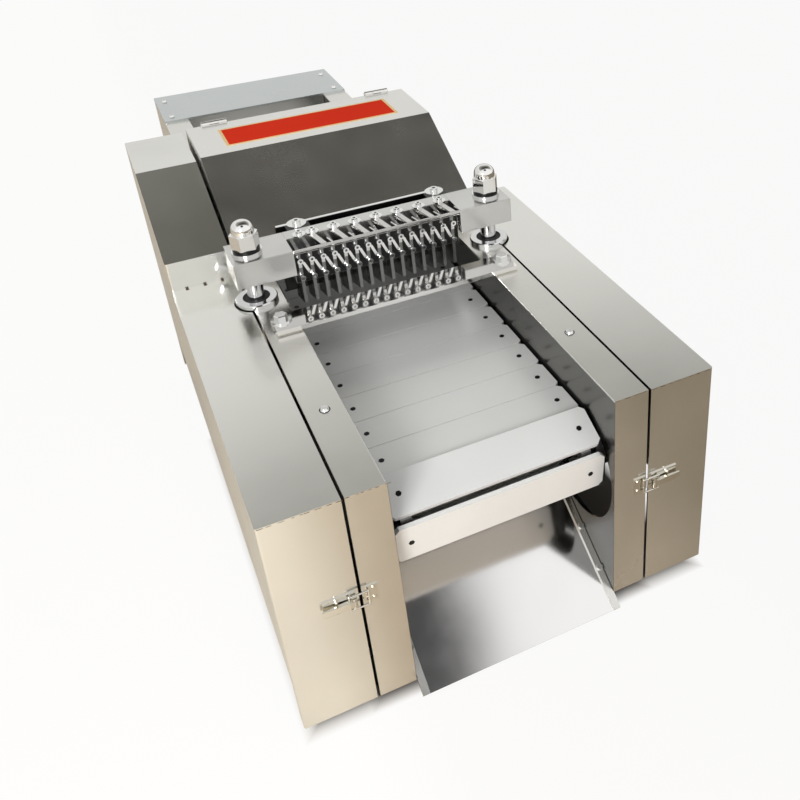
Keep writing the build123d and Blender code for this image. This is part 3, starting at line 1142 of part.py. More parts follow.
for name, side in SIDES.items():
    axis_x = side * LATCH_AXIS_X
    eye_x = side * (LATCH_AXIS_X + EYE_OFFSET)

    # Latch base: a riveted plate with two ears and the lever's pin
    with BuildPart() as latch_base:
        with Locations((side * (LATCH_AXIS_X + LEVER_TIP_X - 6.0) / 2, -LATCH_PLATE / 2, LATCH_Z)):
            Box(LEVER_TIP_X - 6.0 - LATCH_AXIS_X + 8.0, LATCH_PLATE, 26.0)
        for end in (-1, 1):
            ear_z = LATCH_Z + end * (EAR_IN + EAR_OUT) / 2
            with Locations((axis_x, LATCH_AXIS_Y, ear_z)):
                Cylinder(3.2, EAR_OUT - EAR_IN)
            with Locations((axis_x, (LATCH_AXIS_Y - LATCH_PLATE) / 2, ear_z)):
                Box(6.4, -LATCH_AXIS_Y - LATCH_PLATE, EAR_OUT - EAR_IN)
        with Locations((axis_x, LATCH_AXIS_Y, LATCH_Z)):
            Cylinder(1.5, 2 * EAR_OUT)
        rivet_zs = (LATCH_Z - LATCH_RIVET_Z, LATCH_Z + LATCH_RIVET_Z)
        with Locations(*[(side * LATCH_RIVET_X, -LATCH_PLATE, rivet_z) for rivet_z in rivet_zs]):
            Cylinder(2.6, 2.4, rotation=(90, 0, 0))
            with Locations((0, 0, 0)):
                Cylinder(1.4, 2 * LATCH_PLATE + 3.0, rotation=(90, 0, 0))
    save(latch_base.part, f"{name}_latch_base")

    # Latch lever: a tapered handle with the pivot eye and the eye of the bail
    with BuildPart() as latch_lever:
        with BuildSketch(Plane.XY.offset(LATCH_Z)):
            with Locations((axis_x, LATCH_AXIS_Y)):
                Circle(3.2)
            with Locations((eye_x, LATCH_AXIS_Y)):
                Circle(3.2)
            with BuildLine():
                Polyline(
                    (axis_x, LATCH_AXIS_Y + 3.0),
                    (axis_x, LATCH_AXIS_Y - 3.0),
                    (eye_x, LATCH_AXIS_Y - 3.2),
                    (side * LEVER_TIP_X, LATCH_AXIS_Y - 1.8),
                    (side * LEVER_TIP_X, LATCH_AXIS_Y + 0.2),
                    (eye_x, LATCH_AXIS_Y + 3.0),
                    close=True,
                )
            make_face()
            with Locations((axis_x, LATCH_AXIS_Y)):
                Circle(1.5 + RUN_FIT, mode=Mode.SUBTRACT)
            with Locations((eye_x, LATCH_AXIS_Y)):
                Circle(BAIL_WIRE / 2 + RUN_FIT, mode=Mode.SUBTRACT)
        extrude(amount=LEVER_HALF, both=True)
    save(latch_lever.part, f"{name}_latch_lever")

    # Latch bail: a closed wire loop from the lever's eye to the strike
    with BuildPart() as latch_bail:
        bail_end = eye_x - side * BAIL_REACH
        for x in (eye_x, bail_end):
            with Locations((x, LATCH_AXIS_Y, LATCH_Z)):
                Cylinder(BAIL_WIRE / 2, 2 * BAIL_HALF)
        for dz in (-BAIL_HALF, BAIL_HALF):
            with Locations(((eye_x + bail_end) / 2, LATCH_AXIS_Y, LATCH_Z + dz)):
                Cylinder(BAIL_WIRE / 2, BAIL_REACH, rotation=(0, 90, 0))
            with Locations((eye_x, LATCH_AXIS_Y, LATCH_Z + dz), (bail_end, LATCH_AXIS_Y, LATCH_Z + dz)):
                Sphere(BAIL_WIRE / 2)
    save(latch_bail.part, f"{name}_latch_bail")
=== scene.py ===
"""Looks of the frozen meat cutter: brushed and polished steel, small details, and the photograph's camera."""

import json
import random
from math import pi

import bmesh
import bpy
from mathutils import Matrix, Vector


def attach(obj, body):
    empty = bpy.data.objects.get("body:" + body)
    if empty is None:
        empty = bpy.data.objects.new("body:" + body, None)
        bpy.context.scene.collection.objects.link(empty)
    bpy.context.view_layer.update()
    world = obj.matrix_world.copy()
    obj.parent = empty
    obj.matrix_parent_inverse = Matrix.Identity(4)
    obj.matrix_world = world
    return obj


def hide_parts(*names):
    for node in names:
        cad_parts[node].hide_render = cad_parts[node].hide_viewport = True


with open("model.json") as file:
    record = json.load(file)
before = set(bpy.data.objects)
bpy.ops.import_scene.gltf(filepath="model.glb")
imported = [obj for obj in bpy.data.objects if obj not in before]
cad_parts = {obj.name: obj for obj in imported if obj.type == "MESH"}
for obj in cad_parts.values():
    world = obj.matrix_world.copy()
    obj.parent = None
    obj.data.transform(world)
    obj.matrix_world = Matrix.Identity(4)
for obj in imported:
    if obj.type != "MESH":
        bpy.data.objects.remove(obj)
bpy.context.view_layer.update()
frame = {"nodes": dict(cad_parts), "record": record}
NODES = frame["nodes"]
random.seed(7)


def mm(*v):
    """A point or size given in millimetres, in metres."""
    return Vector([c / 1000.0 for c in v])


# Materials
def node_tree(name):
    """A new material with one shader on its surface, ready for more nodes."""
    mat = bpy.data.materials.new(name)
    mat.use_nodes = True
    nodes = mat.node_tree.nodes
    nodes.clear()
    out = nodes.new("ShaderNodeOutputMaterial")
    bsdf = nodes.new("ShaderNodeBsdfPrincipled")
    mat.node_tree.links.new(bsdf.outputs["BSDF"], out.inputs["Surface"])
    return mat, nodes, mat.node_tree.links, bsdf


def multiplied(nodes, links, first, second):
    """The product of two sockets."""
    product = nodes.new("ShaderNodeMath")
    product.operation = "MULTIPLY"
    links.new(first, product.inputs[0])
    links.new(second, product.inputs[1])
    return product


def painted_shade_in_box(nodes, links, coord, low, high, shade):
    """1 outside the box from low to high, mirrored across X, and a darker painted shade inside it."""
    apart = nodes.new("ShaderNodeSeparateXYZ")
    links.new(coord.outputs["Object"], apart.inputs["Vector"])
    across = nodes.new("ShaderNodeMath")
    across.operation = "ABSOLUTE"
    links.new(apart.outputs["X"], across.inputs[0])
    inside = None
    tests = ((across.outputs["Value"], "GREATER_THAN", low.x), (across.outputs["Value"], "LESS_THAN", high.x),
             (apart.outputs["Y"], "GREATER_THAN", low.y), (apart.outputs["Y"], "LESS_THAN", high.y),
             (apart.outputs["Z"], "LESS_THAN", high.z))
    for source, operation, limit in tests:
        test = nodes.new("ShaderNodeMath")
        test.operation = operation
        links.new(source, test.inputs[0])
        test.inputs[1].default_value = limit
        if inside is not None:
            test = multiplied(nodes, links, inside.outputs["Value"], test.outputs["Value"])
        inside = test
    tone = nodes.new("ShaderNodeMapRange")
    tone.inputs["To Min"].default_value = 1.0
    tone.inputs["To Max"].default_value = shade
    links.new(inside.outputs["Value"], tone.inputs["Value"])
    return tone


def steel(name, colour, rough=0.3, grain=(1.0, 1.0, 1.0), fine=420.0, bump=0.02, cloud=0.06, metallic=1.0,
          smudge=0.05, gleam=0.25, shade_boxes=()):
    """Metal with a drawn grain, cloudy tone, uneven gloss and painted shade in boxes, all from object
    coordinates.
    """
    mat, nodes, links, bsdf = node_tree(name)
    bsdf.inputs["Metallic"].default_value = metallic
    bsdf.inputs["Specular IOR Level"].default_value = gleam
    coord = nodes.new("ShaderNodeTexCoord")
    grain_map = nodes.new("ShaderNodeMapping")
    grain_map.inputs["Scale"].default_value = grain
    links.new(coord.outputs["Object"], grain_map.inputs["Vector"])
    lines = nodes.new("ShaderNodeTexNoise")
    lines.inputs["Scale"].default_value = fine
    lines.inputs["Detail"].default_value = 2.0
    links.new(grain_map.outputs["Vector"], lines.inputs["Vector"])
    clouds = nodes.new("ShaderNodeTexNoise")
    clouds.inputs["Scale"].default_value = 9.0
    clouds.inputs["Detail"].default_value = 4.0
    links.new(coord.outputs["Object"], clouds.inputs["Vector"])
    tone = nodes.new("ShaderNodeMapRange")
    tone.inputs["From Min"].default_value = 0.3
    tone.inputs["From Max"].default_value = 0.7
    tone.inputs["To Min"].default_value = 1.0 - cloud
    tone.inputs["To Max"].default_value = 1.0 + cloud
    links.new(clouds.outputs["Fac"], tone.inputs["Value"])
    hair = nodes.new("ShaderNodeMapRange")
    hair.inputs["To Min"].default_value = 1.0 - 0.25 * cloud
    hair.inputs["To Max"].default_value = 1.0 + 0.25 * cloud
    links.new(lines.outputs["Fac"], hair.inputs["Value"])
    both = multiplied(nodes, links, tone.outputs["Result"], hair.outputs["Result"])
    # Painted shade: each shade box darkens the base colour inside it
    for shade_box in shade_boxes:
        both = multiplied(nodes, links, both.outputs["Value"],
                          painted_shade_in_box(nodes, links, coord, *shade_box).outputs["Result"])
    shade = nodes.new("ShaderNodeVectorMath")
    shade.operation = "SCALE"
    shade.inputs[0].default_value = colour
    links.new(both.outputs["Value"], shade.inputs["Scale"])
    links.new(shade.outputs["Vector"], bsdf.inputs["Base Color"])
    gloss = nodes.new("ShaderNodeMapRange")
    gloss.inputs["From Min"].default_value = 0.3
    gloss.inputs["From Max"].default_value = 0.7
    gloss.inputs["To Min"].default_value = max(0.03, rough - smudge)
    gloss.inputs["To Max"].default_value = rough + smudge
    links.new(clouds.outputs["Fac"], gloss.inputs["Value"])
    links.new(gloss.outputs["Result"], bsdf.inputs["Roughness"])
    if bump:
        rise = nodes.new("ShaderNodeBump")
        rise.inputs["Strength"].default_value = bump
        rise.inputs["Distance"].default_value = 0.0004
        links.new(lines.outputs["Fac"], rise.inputs["Height"])
        links.new(rise.outputs["Normal"], bsdf.inputs["Normal"])
    return mat


ALONG_Y = (1.0, 0.03, 1.0)
ALONG_X = (0.03, 1.0, 1.0)
# Boxes whose inside takes a darker painted shade: the channels, their walls, and the slats under the head
SHEET_TOP = 363.0
FRAME_INSIDE_SHADE = (mm(151.5, 1.5, 0), mm(199.9, 1486.5, SHEET_TOP), 0.30)
CHANNEL_WALL_SHADE = (mm(149.0, -1, 0), mm(150.4, 1486.5, SHEET_TOP), 0.20)
UNDER_HEAD_SHADE = (mm(-1, 466, 0), mm(150, 884, 400), 0.35)


def cover_look(name, length):
    """Cover steel, with the inside of a cover of this length in a darker painted shade."""
    inside = (mm(206.0, 1.5, 0), mm(298.5, length - 1.5, SHEET_TOP), 0.30)
    return steel(name, (0.76, 0.755, 0.72), 0.20, ALONG_Y, bump=0, cloud=0.03, smudge=0.03, shade_boxes=(inside,))


LEFT_COVER = cover_look("left_cover_steel", 920.0)
RIGHT_COVER = cover_look("right_cover_steel", 650.0)
# Frame steel with painted shade inside its channels and on their walls
FRAME = steel("frame_steel", (0.74, 0.73, 0.69), 0.24, ALONG_Y, bump=0, cloud=0.04,
              shade_boxes=(FRAME_INSIDE_SHADE, CHANNEL_WALL_SHADE))
HOOD = steel("hood_steel", (0.78, 0.77, 0.74), 0.25, ALONG_Y, bump=0, cloud=0.03, smudge=0.03)
REAR_PLATE = steel("rear_plate_steel", (0.60, 0.63, 0.63), 0.30, ALONG_X, bump=0, cloud=0.06)
# Slat steel with painted shade on the slats under the head
SLAT = steel("slat_steel", (0.84, 0.84, 0.83), 0.34, ALONG_X, bump=0, cloud=0.02, metallic=0.4, smudge=0.03,
             shade_boxes=(UNDER_HEAD_SHADE,))
CHUTE = steel("chute_steel", (0.82, 0.81, 0.80), 0.11, ALONG_Y, bump=0, cloud=0.03, smudge=0.03)
POLISHED = steel("polished_steel", (0.80, 0.79, 0.77), 0.08, ALONG_X, bump=0.01, smudge=0.03)
GROUND = steel("ground_steel", (0.66, 0.66, 0.66), 0.12, (1.0, 1.0, 0.05), bump=0.02, smudge=0.04)
BEAM = steel("beam_steel", (0.62, 0.615, 0.60), 0.20, ALONG_X, bump=0.06, cloud=0.10)
BLADE = steel("blade_steel", (0.24, 0.24, 0.235), 0.26, (1.0, 1.0, 0.05), bump=0.04)
# Painted shade: the cross knife takes a near-black copy of the blade steel, for the shade it stands in under
# the hood
SHADED_CROSS_BLADE = steel("cross_blade_painted_shade", (0.05, 0.05, 0.048), 0.30, ALONG_X, bump=0.04)
FASTENER = steel("fastener_steel", (0.78, 0.78, 0.77), 0.14, bump=0.02)
DARK = steel("dark_steel", (0.03, 0.03, 0.03), 0.35, bump=0.05)
CHAIN = steel("chain_steel", (0.22, 0.215, 0.21), 0.35, bump=0.1, cloud=0.2)
STRUCTURE = steel("structural_steel", (0.10, 0.10, 0.098), 0.45, ALONG_Y, bump=0.08, cloud=0.12)
# Painted shade: the bearing plates behind the frame windows take a near-black matt tone for the dark seen
# through the windows
SHADED_INNER_PLATE = steel("inner_plate_painted_shade", (0.03, 0.03, 0.029), 0.7, ALONG_Y, bump=0.05, metallic=0.0, gleam=0.05)
CAST = steel("cast_housing", (0.20, 0.205, 0.21), 0.50, fine=260.0, bump=0.35, cloud=0.12)
LATCH = steel("latch_steel", (0.70, 0.68, 0.62), 0.16, ALONG_X, bump=0.03)
PAINT = steel("motor_paint", (0.19, 0.25, 0.31), 0.42, fine=180.0, bump=0.12, cloud=0.06, metallic=0.0)
RUBBER = steel("seal_rubber", (0.018, 0.018, 0.018), 0.5, fine=500.0, bump=0.2, metallic=0.0)
BELT = steel("belt_rubber", (0.022, 0.022, 0.022), 0.6, fine=700.0, bump=0.3, metallic=0.0)
RED = steel("red_panel", (0.78, 0.045, 0.02), 0.45, fine=300.0, bump=0.02, cloud=0.03, metallic=0.0,
            gleam=0.0)
BORDER = steel("panel_border", (0.90, 0.66, 0.34), 0.45, fine=300.0, bump=0.02, cloud=0.03, metallic=0.0,
               gleam=0.0)
SCORCH = steel("weld_scorch", (0.075, 0.050, 0.030), 0.55, fine=400.0, bump=0.3, cloud=0.3, metallic=0.4)

LOOKS = {
    "cover_steel": HOOD, "frame_steel": FRAME, "slat_steel": SLAT, "polished_steel": POLISHED,
    "ground_steel": GROUND, "beam_steel": BEAM, "blade_steel": BLADE, "fastener_steel": FASTENER,
    "dark_steel": DARK, "chain_steel": CHAIN, "structural_steel": STRUCTURE, "cast_housing": CAST,
    "latch_steel": LATCH, "motor_paint": PAINT, "seal_rubber": RUBBER, "belt_rubber": BELT,
}
OWN_LOOKS = {
    "left_cover": LEFT_COVER, "right_cover": RIGHT_COVER, "bearing_plates": SHADED_INNER_PLATE,
    "rear_top_plate": REAR_PLATE, "chute": CHUTE, "cross_knife": SHADED_CROSS_BLADE,
}
for part in frame["record"]["subparts"]:
    for slot in NODES[part["node"]].material_slots:
        slot.material = OWN_LOOKS.get(part["node"], LOOKS[part["material_slot"]])


# Thin pieces laid on the solids
TOP_FACE = Matrix(((1, 0, 0), (0, 1, 0), (0, 0, 1))).to_4x4()
FRONT_FACE = Matrix(((1, 0, 0), (0, 0, -1), (0, 1, 0))).to_4x4()


def slab(name, outlines, seat, face, thickness, material, body):
    """Flat outlines in millimetres, set on a face at seat and raised off it by a thickness."""
    mesh = bmesh.new()
    for outline in outlines:
        low = [mesh.verts.new(mm(u, v, 0)) for u, v in outline]
        high = [mesh.verts.new(mm(u, v, thickness)) for u, v in outline]
        mesh.faces.new(list(reversed(low)))
        mesh.faces.new(high)
        for i in range(len(outline)):
            j = (i + 1) % len(outline)
            mesh.faces.new((low[i], low[j], high[j], high[i]))
    bmesh.ops.recalc_face_normals(mesh, faces=mesh.faces)
    mesh.transform(Matrix.Translation(mm(*seat)) @ face)
    data = bpy.data.meshes.new(name)
    mesh.to_mesh(data)
    mesh.free()
    data.materials.append(material)
    piece = bpy.data.objects.new(name, data)
    bpy.context.collection.objects.link(piece)
    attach(piece, body)
    return piece


def box(u, v, width, height, slant=0.0):
    """A four-sided outline centred at (u, v), its upper edge moved sideways by slant."""
    half_w, half_h = width / 2, height / 2
    return [(u - half_w - slant / 2, v - half_h), (u + half_w - slant / 2, v - half_h),
            (u + half_w + slant / 2, v + half_h), (u - half_w + slant / 2, v + half_h)]


def blob(u, v, radius):
    """A round outline with an uneven edge."""
    count = 14
    rim = []
    for i in range(count):
        spoke = Vector((radius * random.uniform(0.75, 1.15), 0)).to_3d()
        spoke.rotate(Matrix.Rotation(i * 2 * pi / count, 3, "Z"))
        rim.append((u + spoke.x, v + spoke.y))
    return rim


def ring(name, centres, inner, outer, seat, material, body):
    """Flat rings on a top face."""
    count = 24
    step = 2 * pi / count
    segments = []
    for u, v in centres:
        for i in range(count):
            a = Matrix.Rotation(i * step, 2) @ Vector((1, 0))
            b = Matrix.Rotation((i + 1) * step, 2) @ Vector((1, 0))
            segments.append([(u + inner * a.x, v + inner * a.y), (u + outer * a.x, v + outer * a.y),
                             (u + outer * b.x, v + outer * b.y), (u + inner * b.x, v + inner * b.y)])
    return slab(name, segments, seat, TOP_FACE, 0.15, material, body)


# Red panel with its pale border on the hood's top
HOOD_TOP = 500.0
PANEL_Y = 806.0
PANEL_SIZE = (302.0, 84.0)
PANEL_BORDER = 5.0
PANEL_THICKNESS = 0.3
panel_width, panel_depth = PANEL_SIZE
slab("panel_border", [box(0, PANEL_Y, panel_width, panel_depth)], (0, 0, HOOD_TOP), TOP_FACE, PANEL_THICKNESS,
     BORDER, "hood")
slab("panel_face", [box(0, PANEL_Y, panel_width - 2 * PANEL_BORDER, panel_depth - 2 * PANEL_BORDER)],
     (0, 0, HOOD_TOP + PANEL_THICKNESS), TOP_FACE, 0.2, RED, "hood")

# Tack welds and scorched corner seams
COVER_TOP = 364.5
FRAME_TOP = 365.0
STEP_Y = 565.0
TACK_XS = (-277.0, -250.0, -224.0)
TACK_RADIUS = 2.8
slab("tack_welds", [blob(x, STEP_Y - 3.0, TACK_RADIUS) for x in TACK_XS], (0, 0, COVER_TOP), TOP_FACE, 0.4,
     SCORCH, "left_side_cover")


def seam(name, start, end, height, body):
    """Short uneven scorch marks along a front panel's top edge."""
    marks = []
    x = start
    while x < end:
        length = random.uniform(2.0, 9.0)
        marks.append(box(x + length / 2, 0, length, random.uniform(0.35, 0.8)))
        x += length + random.uniform(1.0, 8.0)
    slab(name, marks, (0, 0, height), FRONT_FACE, 0.12, SCORCH, body)


seam("left_cover_seam", -298.0, -206.0, COVER_TOP - 1.6, "left_side_cover")
seam("right_cover_seam", 206.0, 298.0, COVER_TOP - 1.6, "right_side_cover")
seam("left_frame_seam", -199.0, -151.0, FRAME_TOP - 1.0, "base")
seam("right_frame_seam", 151.0, 199.0, FRAME_TOP - 1.0, "base")

# Painted shadow: dark rings round the two screws in the frame tops
FRAME_SCREWS = ((-175.0, 166.0), (175.0, 166.0))
ring("screw_shadow_rings", FRAME_SCREWS, 6.0, 7.2, (0, 0, FRAME_TOP), DARK, "base")

# Beam with its open middle: a lip in front, slanted ribs to the rear bar, and a low step under them
KNIFE_COUNT = 15
KNIFE_PITCH = 17.4
BEAM_BOTTOM = 408.0
BEAM_TOP = 448.0
BEAM_FRONT = 440.0
BEAM_REAR = 510.0
BEAM_HALF = 217.5
MIDDLE_HALF = 131.0
LIP_DEPTH = 3.0
KNIFE_FRONT = 456.2
RIB_REAR = 484.0
STEP_TOP = 434.0
HOLDER_BOTTOM = 386.0
RIB_Z = 410.0
EDGE_Y = 532.0
EDGE_LENGTH = 270.0
TOP_SCREW_XS = (-110.0, -90.0, -57.0, -24.0, 10.0, 44.0, 80.0, 115.0)
KNIFE_XS = [(i - (KNIFE_COUNT - 1) / 2) * KNIFE_PITCH for i in range(KNIFE_COUNT)]
MIDDLE_WIDTH = 2 * MIDDLE_HALF - 1


def prism(mesh, outline, low, high):
    """An upright prism between two heights, all in millimetres."""
    bottom = [mesh.verts.new(mm(u, v, low)) for u, v in outline]
    top = [mesh.verts.new(mm(u, v, high)) for u, v in outline]
    mesh.faces.new(list(reversed(bottom)))
    mesh.faces.new(top)
    for i in range(len(outline)):
        j = (i + 1) % len(outline)
        mesh.faces.new((bottom[i], bottom[j], top[j], top[i]))


def span(x0, x1, y0, y1):
    """A rectangle between two X and two Y values."""
    return [(x0, y0), (x1, y0), (x1, y1), (x0, y1)]


def visual_beam():
    """The beam as it shows: the same outline, open in the middle with slanted ribs across the gap."""
    mesh = bmesh.new()
    lip_rear = BEAM_FRONT + LIP_DEPTH
    rib_middle = (lip_rear + RIB_REAR) / 2
    rib_depth = RIB_REAR - lip_rear
    prism(mesh, span(-BEAM_HALF, -MIDDLE_HALF, BEAM_FRONT, BEAM_REAR), BEAM_BOTTOM, BEAM_TOP)
    prism(mesh, span(MIDDLE_HALF, BEAM_HALF, BEAM_FRONT, BEAM_REAR), BEAM_BOTTOM, BEAM_TOP)
    prism(mesh, span(-MIDDLE_HALF, MIDDLE_HALF, BEAM_FRONT, lip_rear), BEAM_TOP - 4.0, BEAM_TOP)
    prism(mesh, span(-MIDDLE_HALF, MIDDLE_HALF, RIB_REAR, BEAM_REAR), BEAM_BOTTOM, BEAM_TOP)
    prism(mesh, span(-MIDDLE_HALF, MIDDLE_HALF, KNIFE_FRONT, RIB_REAR), HOLDER_BOTTOM, STEP_TOP)
    for x in TOP_SCREW_XS[1:]:
        prism(mesh, box(x + 2.0, rib_middle, 9.0, rib_depth, -8.0), BEAM_TOP - 6.0, BEAM_TOP)
        prism(mesh, box(x + 17.0, rib_middle - 12.0, 3.0, 20.0, -4.0), BEAM_TOP - 6.0, BEAM_TOP - 1.0)
    data = bpy.data.meshes.new("visual_beam")
    mesh.to_mesh(data)
    mesh.free()
    data.materials.append(BEAM)
    piece = bpy.data.objects.new("visual_beam", data)
    bpy.context.collection.objects.link(piece)
    soften = piece.modifiers.new("edges", "BEVEL")
    soften.width = 0.0005
    soften.segments = 2
    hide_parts("beam")
    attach(piece, "cutting_head")


visual_beam()
# Painted shade: dark sheets on the low step and on the holder's front, where the beam's open middle lies in
# shade
slab("beam_step_shade", [box(0, (KNIFE_FRONT + RIB_REAR) / 2, MIDDLE_WIDTH, RIB_REAR - KNIFE_FRONT)],
     (0, 0, STEP_TOP), TOP_FACE, 0.2, DARK, "cutting_head")
slab("holder_front_shade", [box(0, (HOLDER_BOTTOM + STEP_TOP) / 2, MIDDLE_WIDTH, STEP_TOP - HOLDER_BOTTOM - 1)],
     (0, KNIFE_FRONT, 0), FRONT_FACE, 0.15, DARK, "cutting_head")
slab("front_ribs", [box(x + KNIFE_PITCH / 2, RIB_Z, 4.5, 20.0, -8.0) for x in KNIFE_XS[:-1]],
     (0, KNIFE_FRONT - 0.15, 0), FRONT_FACE, 2.5, FASTENER, "cutting_head")
slab("lug_bars", [box(x, RIB_Z + 6.0, 5.0, 9.0) for x in KNIFE_XS],
     (0, KNIFE_FRONT - 0.15, 0), FRONT_FACE, 1.5, BEAM, "cutting_head")
slab("cross_knife_edge", [box(0, EDGE_Y, EDGE_LENGTH, 6.0)], (0, 0, BEAM_TOP), TOP_FACE, 0.2, FASTENER,
     "cutting_head")


# Floor, light and camera
# Half sizes and middles of the two rectangles the machine stands over, where the floor takes a painted shadow
SHADOW_FOOTPRINTS = ((mm(275, 310, 0), mm(0, 330, 0)), (mm(185, 720, 0), mm(0, 744, 0)))
SHADOW_EDGE = 0.03


def outside_box(nodes, links, coord, half, middle):
    """0 over one rectangle of the floor and 1 a little outside it."""
    centre = nodes.new("ShaderNodeVectorMath")
    centre.operation = "SUBTRACT"
    centre.inputs[1].default_value = middle
    links.new(coord.outputs["Object"], centre.inputs[0])
    size = nodes.new("ShaderNodeVectorMath")
    size.operation = "ABSOLUTE"
    links.new(centre.outputs["Vector"], size.inputs[0])
    apart = nodes.new("ShaderNodeSeparateXYZ")
    links.new(size.outputs["Vector"], apart.inputs["Vector"])
    outside = nodes.new("ShaderNodeMath")
    outside.operation = "MAXIMUM"
    for i, (axis, limit) in enumerate((("X", half.x), ("Y", half.y))):
        share = nodes.new("ShaderNodeMapRange")
        share.inputs["From Min"].default_value = limit
        share.inputs["From Max"].default_value = limit + SHADOW_EDGE
        links.new(apart.outputs[axis], share.inputs["Value"])
        links.new(share.outputs["Result"], outside.inputs[i])
    return outside


def painted_shadow_mask(nodes, links, coord):
    """0 under the machine, wide at the front and narrow at the rear, and 1 a little outside: the mask of the
    floor's painted shadow.
    """
    wide, narrow = (outside_box(nodes, links, coord, *footprint) for footprint in SHADOW_FOOTPRINTS)
    return multiplied(nodes, links, wide.outputs["Value"], narrow.outputs["Value"])


def stage_plane():
    """A floor that shows white to the camera, is toned in what reflects it, and has a painted shadow under
    the machine.
    """
    mesh = bpy.data.meshes.new("floor")
    size = 14.0
    corners = [(-size, -size, 0), (size, -size, 0), (size, size, 0), (-size, size, 0)]
    mesh.from_pydata(corners, [], [(0, 1, 2, 3)])
    floor = bpy.data.objects.new("floor", mesh)
    bpy.context.collection.objects.link(floor)
    mat, nodes, links, bsdf = node_tree("floor_paper")
    out = nodes["Material Output"]
    bsdf.inputs["Roughness"].default_value = 0.9
    coord = nodes.new("ShaderNodeTexCoord")
    apart = nodes.new("ShaderNodeSeparateXYZ")
    links.new(coord.outputs["Object"], apart.inputs["Vector"])
    shift = nodes.new("ShaderNodeMath")
    shift.operation = "ADD"
    shift.inputs[1].default_value = 0.5
    links.new(apart.outputs["X"], shift.inputs[0])
    paper = nodes.new("ShaderNodeValToRGB")
    paper.color_ramp.elements[0].color = (0.76, 0.68, 0.57, 1)
    paper.color_ramp.elements[0].position = 0.25
    paper.color_ramp.elements[1].color = (0.32, 0.26, 0.19, 1)
    paper.color_ramp.elements[1].position = 0.90
    paper.color_ramp.elements.new(0.36).color = (0.50, 0.41, 0.31, 1)
    paper.color_ramp.elements.new(0.75).color = (0.41, 0.34, 0.26, 1)
    links.new(shift.outputs["Value"], paper.inputs["Fac"])
    # Painted shadow: under the machine the floor's colour is scaled down to 0.12, and the camera sees it
    # there in place of the white glow
    outside = painted_shadow_mask(nodes, links, coord)
    shade = nodes.new("ShaderNodeMapRange")
    shade.inputs["To Min"].default_value = 0.12
    links.new(outside.outputs["Value"], shade.inputs["Value"])
    ground = nodes.new("ShaderNodeVectorMath")
    ground.operation = "SCALE"
    links.new(paper.outputs["Color"], ground.inputs[0])
    links.new(shade.outputs["Result"], ground.inputs["Scale"])
    links.new(ground.outputs["Vector"], bsdf.inputs["Base Color"])
    glow = nodes.new("ShaderNodeEmission")
    glow.inputs["Color"].default_value = (1, 1, 1, 1)
    glow.inputs["Strength"].default_value = 1.0
    path = nodes.new("ShaderNodeLightPath")
    share = nodes.new("ShaderNodeMath")
    share.operation = "MULTIPLY"
    share.inputs[1].default_value = 0.93
    links.new(path.outputs["Is Camera Ray"], share.inputs[0])
    clear = multiplied(nodes, links, share.outputs["Value"], outside.outputs["Value"])
    mix = nodes.new("ShaderNodeMixShader")
    links.new(clear.outputs["Value"], mix.inputs["Fac"])
    links.new(bsdf.outputs["BSDF"], mix.inputs[1])
    links.new(glow.outputs["Emission"], mix.inputs[2])
    links.new(mix.outputs["Shader"], out.inputs["Surface"])
    mesh.materials.append(mat)


FRONT_PATCH = Vector((0.0, -0.42, 0.908))


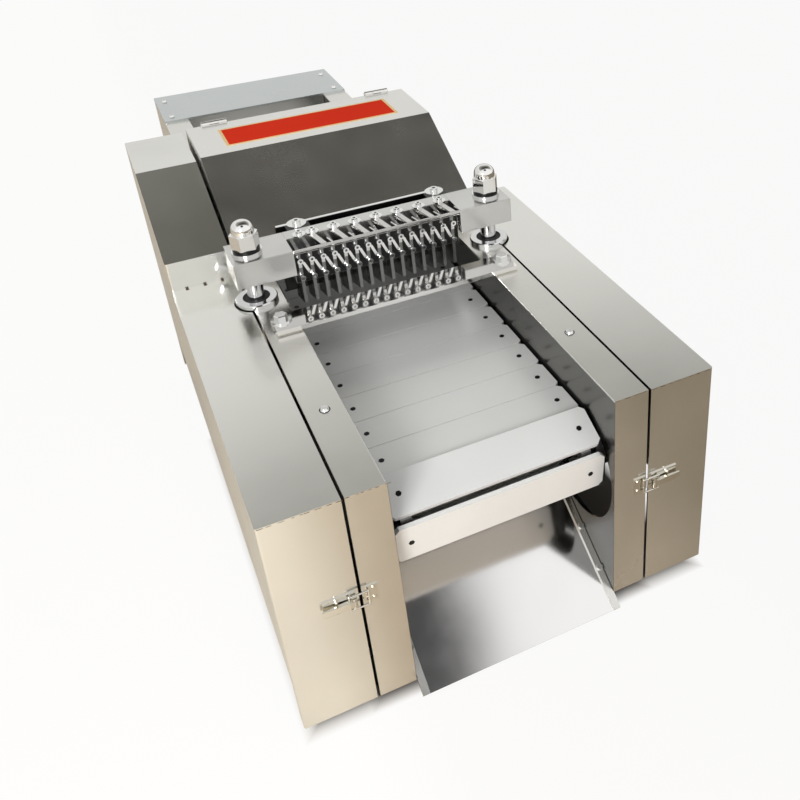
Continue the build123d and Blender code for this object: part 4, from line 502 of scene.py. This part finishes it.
def studio_world():
    """A pale room: its ceiling darkens upwards behind, and in front it is bright but for one dark patch."""
    world = bpy.data.worlds.new("studio")
    bpy.context.scene.world = world
    world.use_nodes = True
    nodes, links = world.node_tree.nodes, world.node_tree.links
    nodes.clear()
    out = nodes.new("ShaderNodeOutputWorld")
    lit = nodes.new("ShaderNodeBackground")
    white = nodes.new("ShaderNodeBackground")
    white.inputs["Color"].default_value = (1, 1, 1, 1)
    white.inputs["Strength"].default_value = 1.0
    coord = nodes.new("ShaderNodeTexCoord")
    apart = nodes.new("ShaderNodeSeparateXYZ")
    links.new(coord.outputs["Generated"], apart.inputs["Vector"])
    ceiling = nodes.new("ShaderNodeValToRGB")
    tones = ((0.0, (0.78, 0.78, 0.76)), (0.33, (0.76, 0.76, 0.745)), (0.48, (0.84, 0.84, 0.825)),
             (0.505, (0.95, 0.95, 0.93)), (0.568, (0.66, 0.66, 0.64)), (0.600, (0.47, 0.47, 0.455)),
             (0.64, (0.37, 0.37, 0.35)), (0.74, (0.25, 0.25, 0.23)), (0.84, (0.11, 0.106, 0.09)),
             (0.90, (0.066, 0.062, 0.052)), (1.0, (0.060, 0.056, 0.047)))
    for position, tone in tones[1:-1]:
        ceiling.color_ramp.elements.new(position).color = (*tone, 1)
    ceiling.color_ramp.elements[0].color = (*tones[0][1], 1)
    ceiling.color_ramp.elements[-1].color = (*tones[-1][1], 1)
    aslant = nodes.new("ShaderNodeMath")
    aslant.operation = "MULTIPLY_ADD"
    aslant.inputs[1].default_value = 0.2
    links.new(apart.outputs["X"], aslant.inputs[0])
    links.new(apart.outputs["Z"], aslant.inputs[2])
    scaled = nodes.new("ShaderNodeMath")
    scaled.operation = "DIVIDE"
    scaled.inputs[1].default_value = 1.1
    links.new(aslant.outputs["Value"], scaled.inputs[0])
    links.new(scaled.outputs["Value"], ceiling.inputs["Fac"])
    toward = nodes.new("ShaderNodeVectorMath")
    toward.operation = "DOT_PRODUCT"
    toward.inputs[1].default_value = FRONT_PATCH.normalized()
    links.new(coord.outputs["Generated"], toward.inputs[0])
    patch = nodes.new("ShaderNodeMapRange")
    patch.inputs["From Min"].default_value = 0.971
    patch.inputs["From Max"].default_value = 0.983
    patch.inputs["To Min"].default_value = 0.98
    patch.inputs["To Max"].default_value = 0.04
    links.new(toward.outputs["Value"], patch.inputs["Value"])
    forward = nodes.new("ShaderNodeMapRange")
    forward.inputs["From Min"].default_value = -0.04
    forward.inputs["From Max"].default_value = -0.26
    links.new(apart.outputs["Y"], forward.inputs["Value"])
    room = nodes.new("ShaderNodeMix")
    room.data_type = "RGBA"
    links.new(forward.outputs["Result"], room.inputs["Factor"])
    links.new(ceiling.outputs["Color"], room.inputs["A"])
    links.new(patch.outputs["Result"], room.inputs["B"])
    links.new(room.outputs["Result"], lit.inputs["Color"])
    lit.inputs["Strength"].default_value = 1.1
    path = nodes.new("ShaderNodeLightPath")
    mix = nodes.new("ShaderNodeMixShader")
    links.new(path.outputs["Is Camera Ray"], mix.inputs["Fac"])
    links.new(lit.outputs["Background"], mix.inputs[1])
    links.new(white.outputs["Background"], mix.inputs[2])
    links.new(mix.outputs["Shader"], out.inputs["Surface"])


def soft_light(name, place, target, size, power):
    """A rectangular light at place, turned to its target."""
    lamp = bpy.data.lights.new(name, "AREA")
    lamp.shape = "RECTANGLE"
    lamp.size, lamp.size_y = size
    lamp.energy = power
    holder = bpy.data.objects.new(name, lamp)
    holder.location = place
    holder.rotation_mode = "QUATERNION"
    holder.rotation_quaternion = (Vector(target) - Vector(place)).to_track_quat("-Z", "Y")
    bpy.context.collection.objects.link(holder)


stage_plane()
studio_world()
soft_light("key", (-0.95, -1.0, 0.9), (-0.40, -0.35, 0.0), (0.5, 0.5), 20.0)

RIGHT = Vector((0.88477, -0.46540, -0.02409))
UP = Vector((0.25572, 0.44163, 0.85998))
BACK = Vector((-0.38960, -0.76705, 0.50975))
lens = bpy.data.cameras.new("photo_view")
lens.sensor_width = 36.0
lens.lens = 42.98
lens.shift_x = -0.1956
lens.shift_y = -0.1511
lens.clip_end = 50.0
camera = bpy.data.objects.new("photo_view", lens)
CAMERA_PLACE = mm(-343, -818, 1111)
camera.matrix_world = Matrix.Translation(CAMERA_PLACE) @ Matrix((RIGHT, UP, BACK)).transposed().to_4x4()
bpy.context.collection.objects.link(camera)
bpy.context.scene.camera = camera
bpy.context.scene.view_settings.view_transform = "Standard"
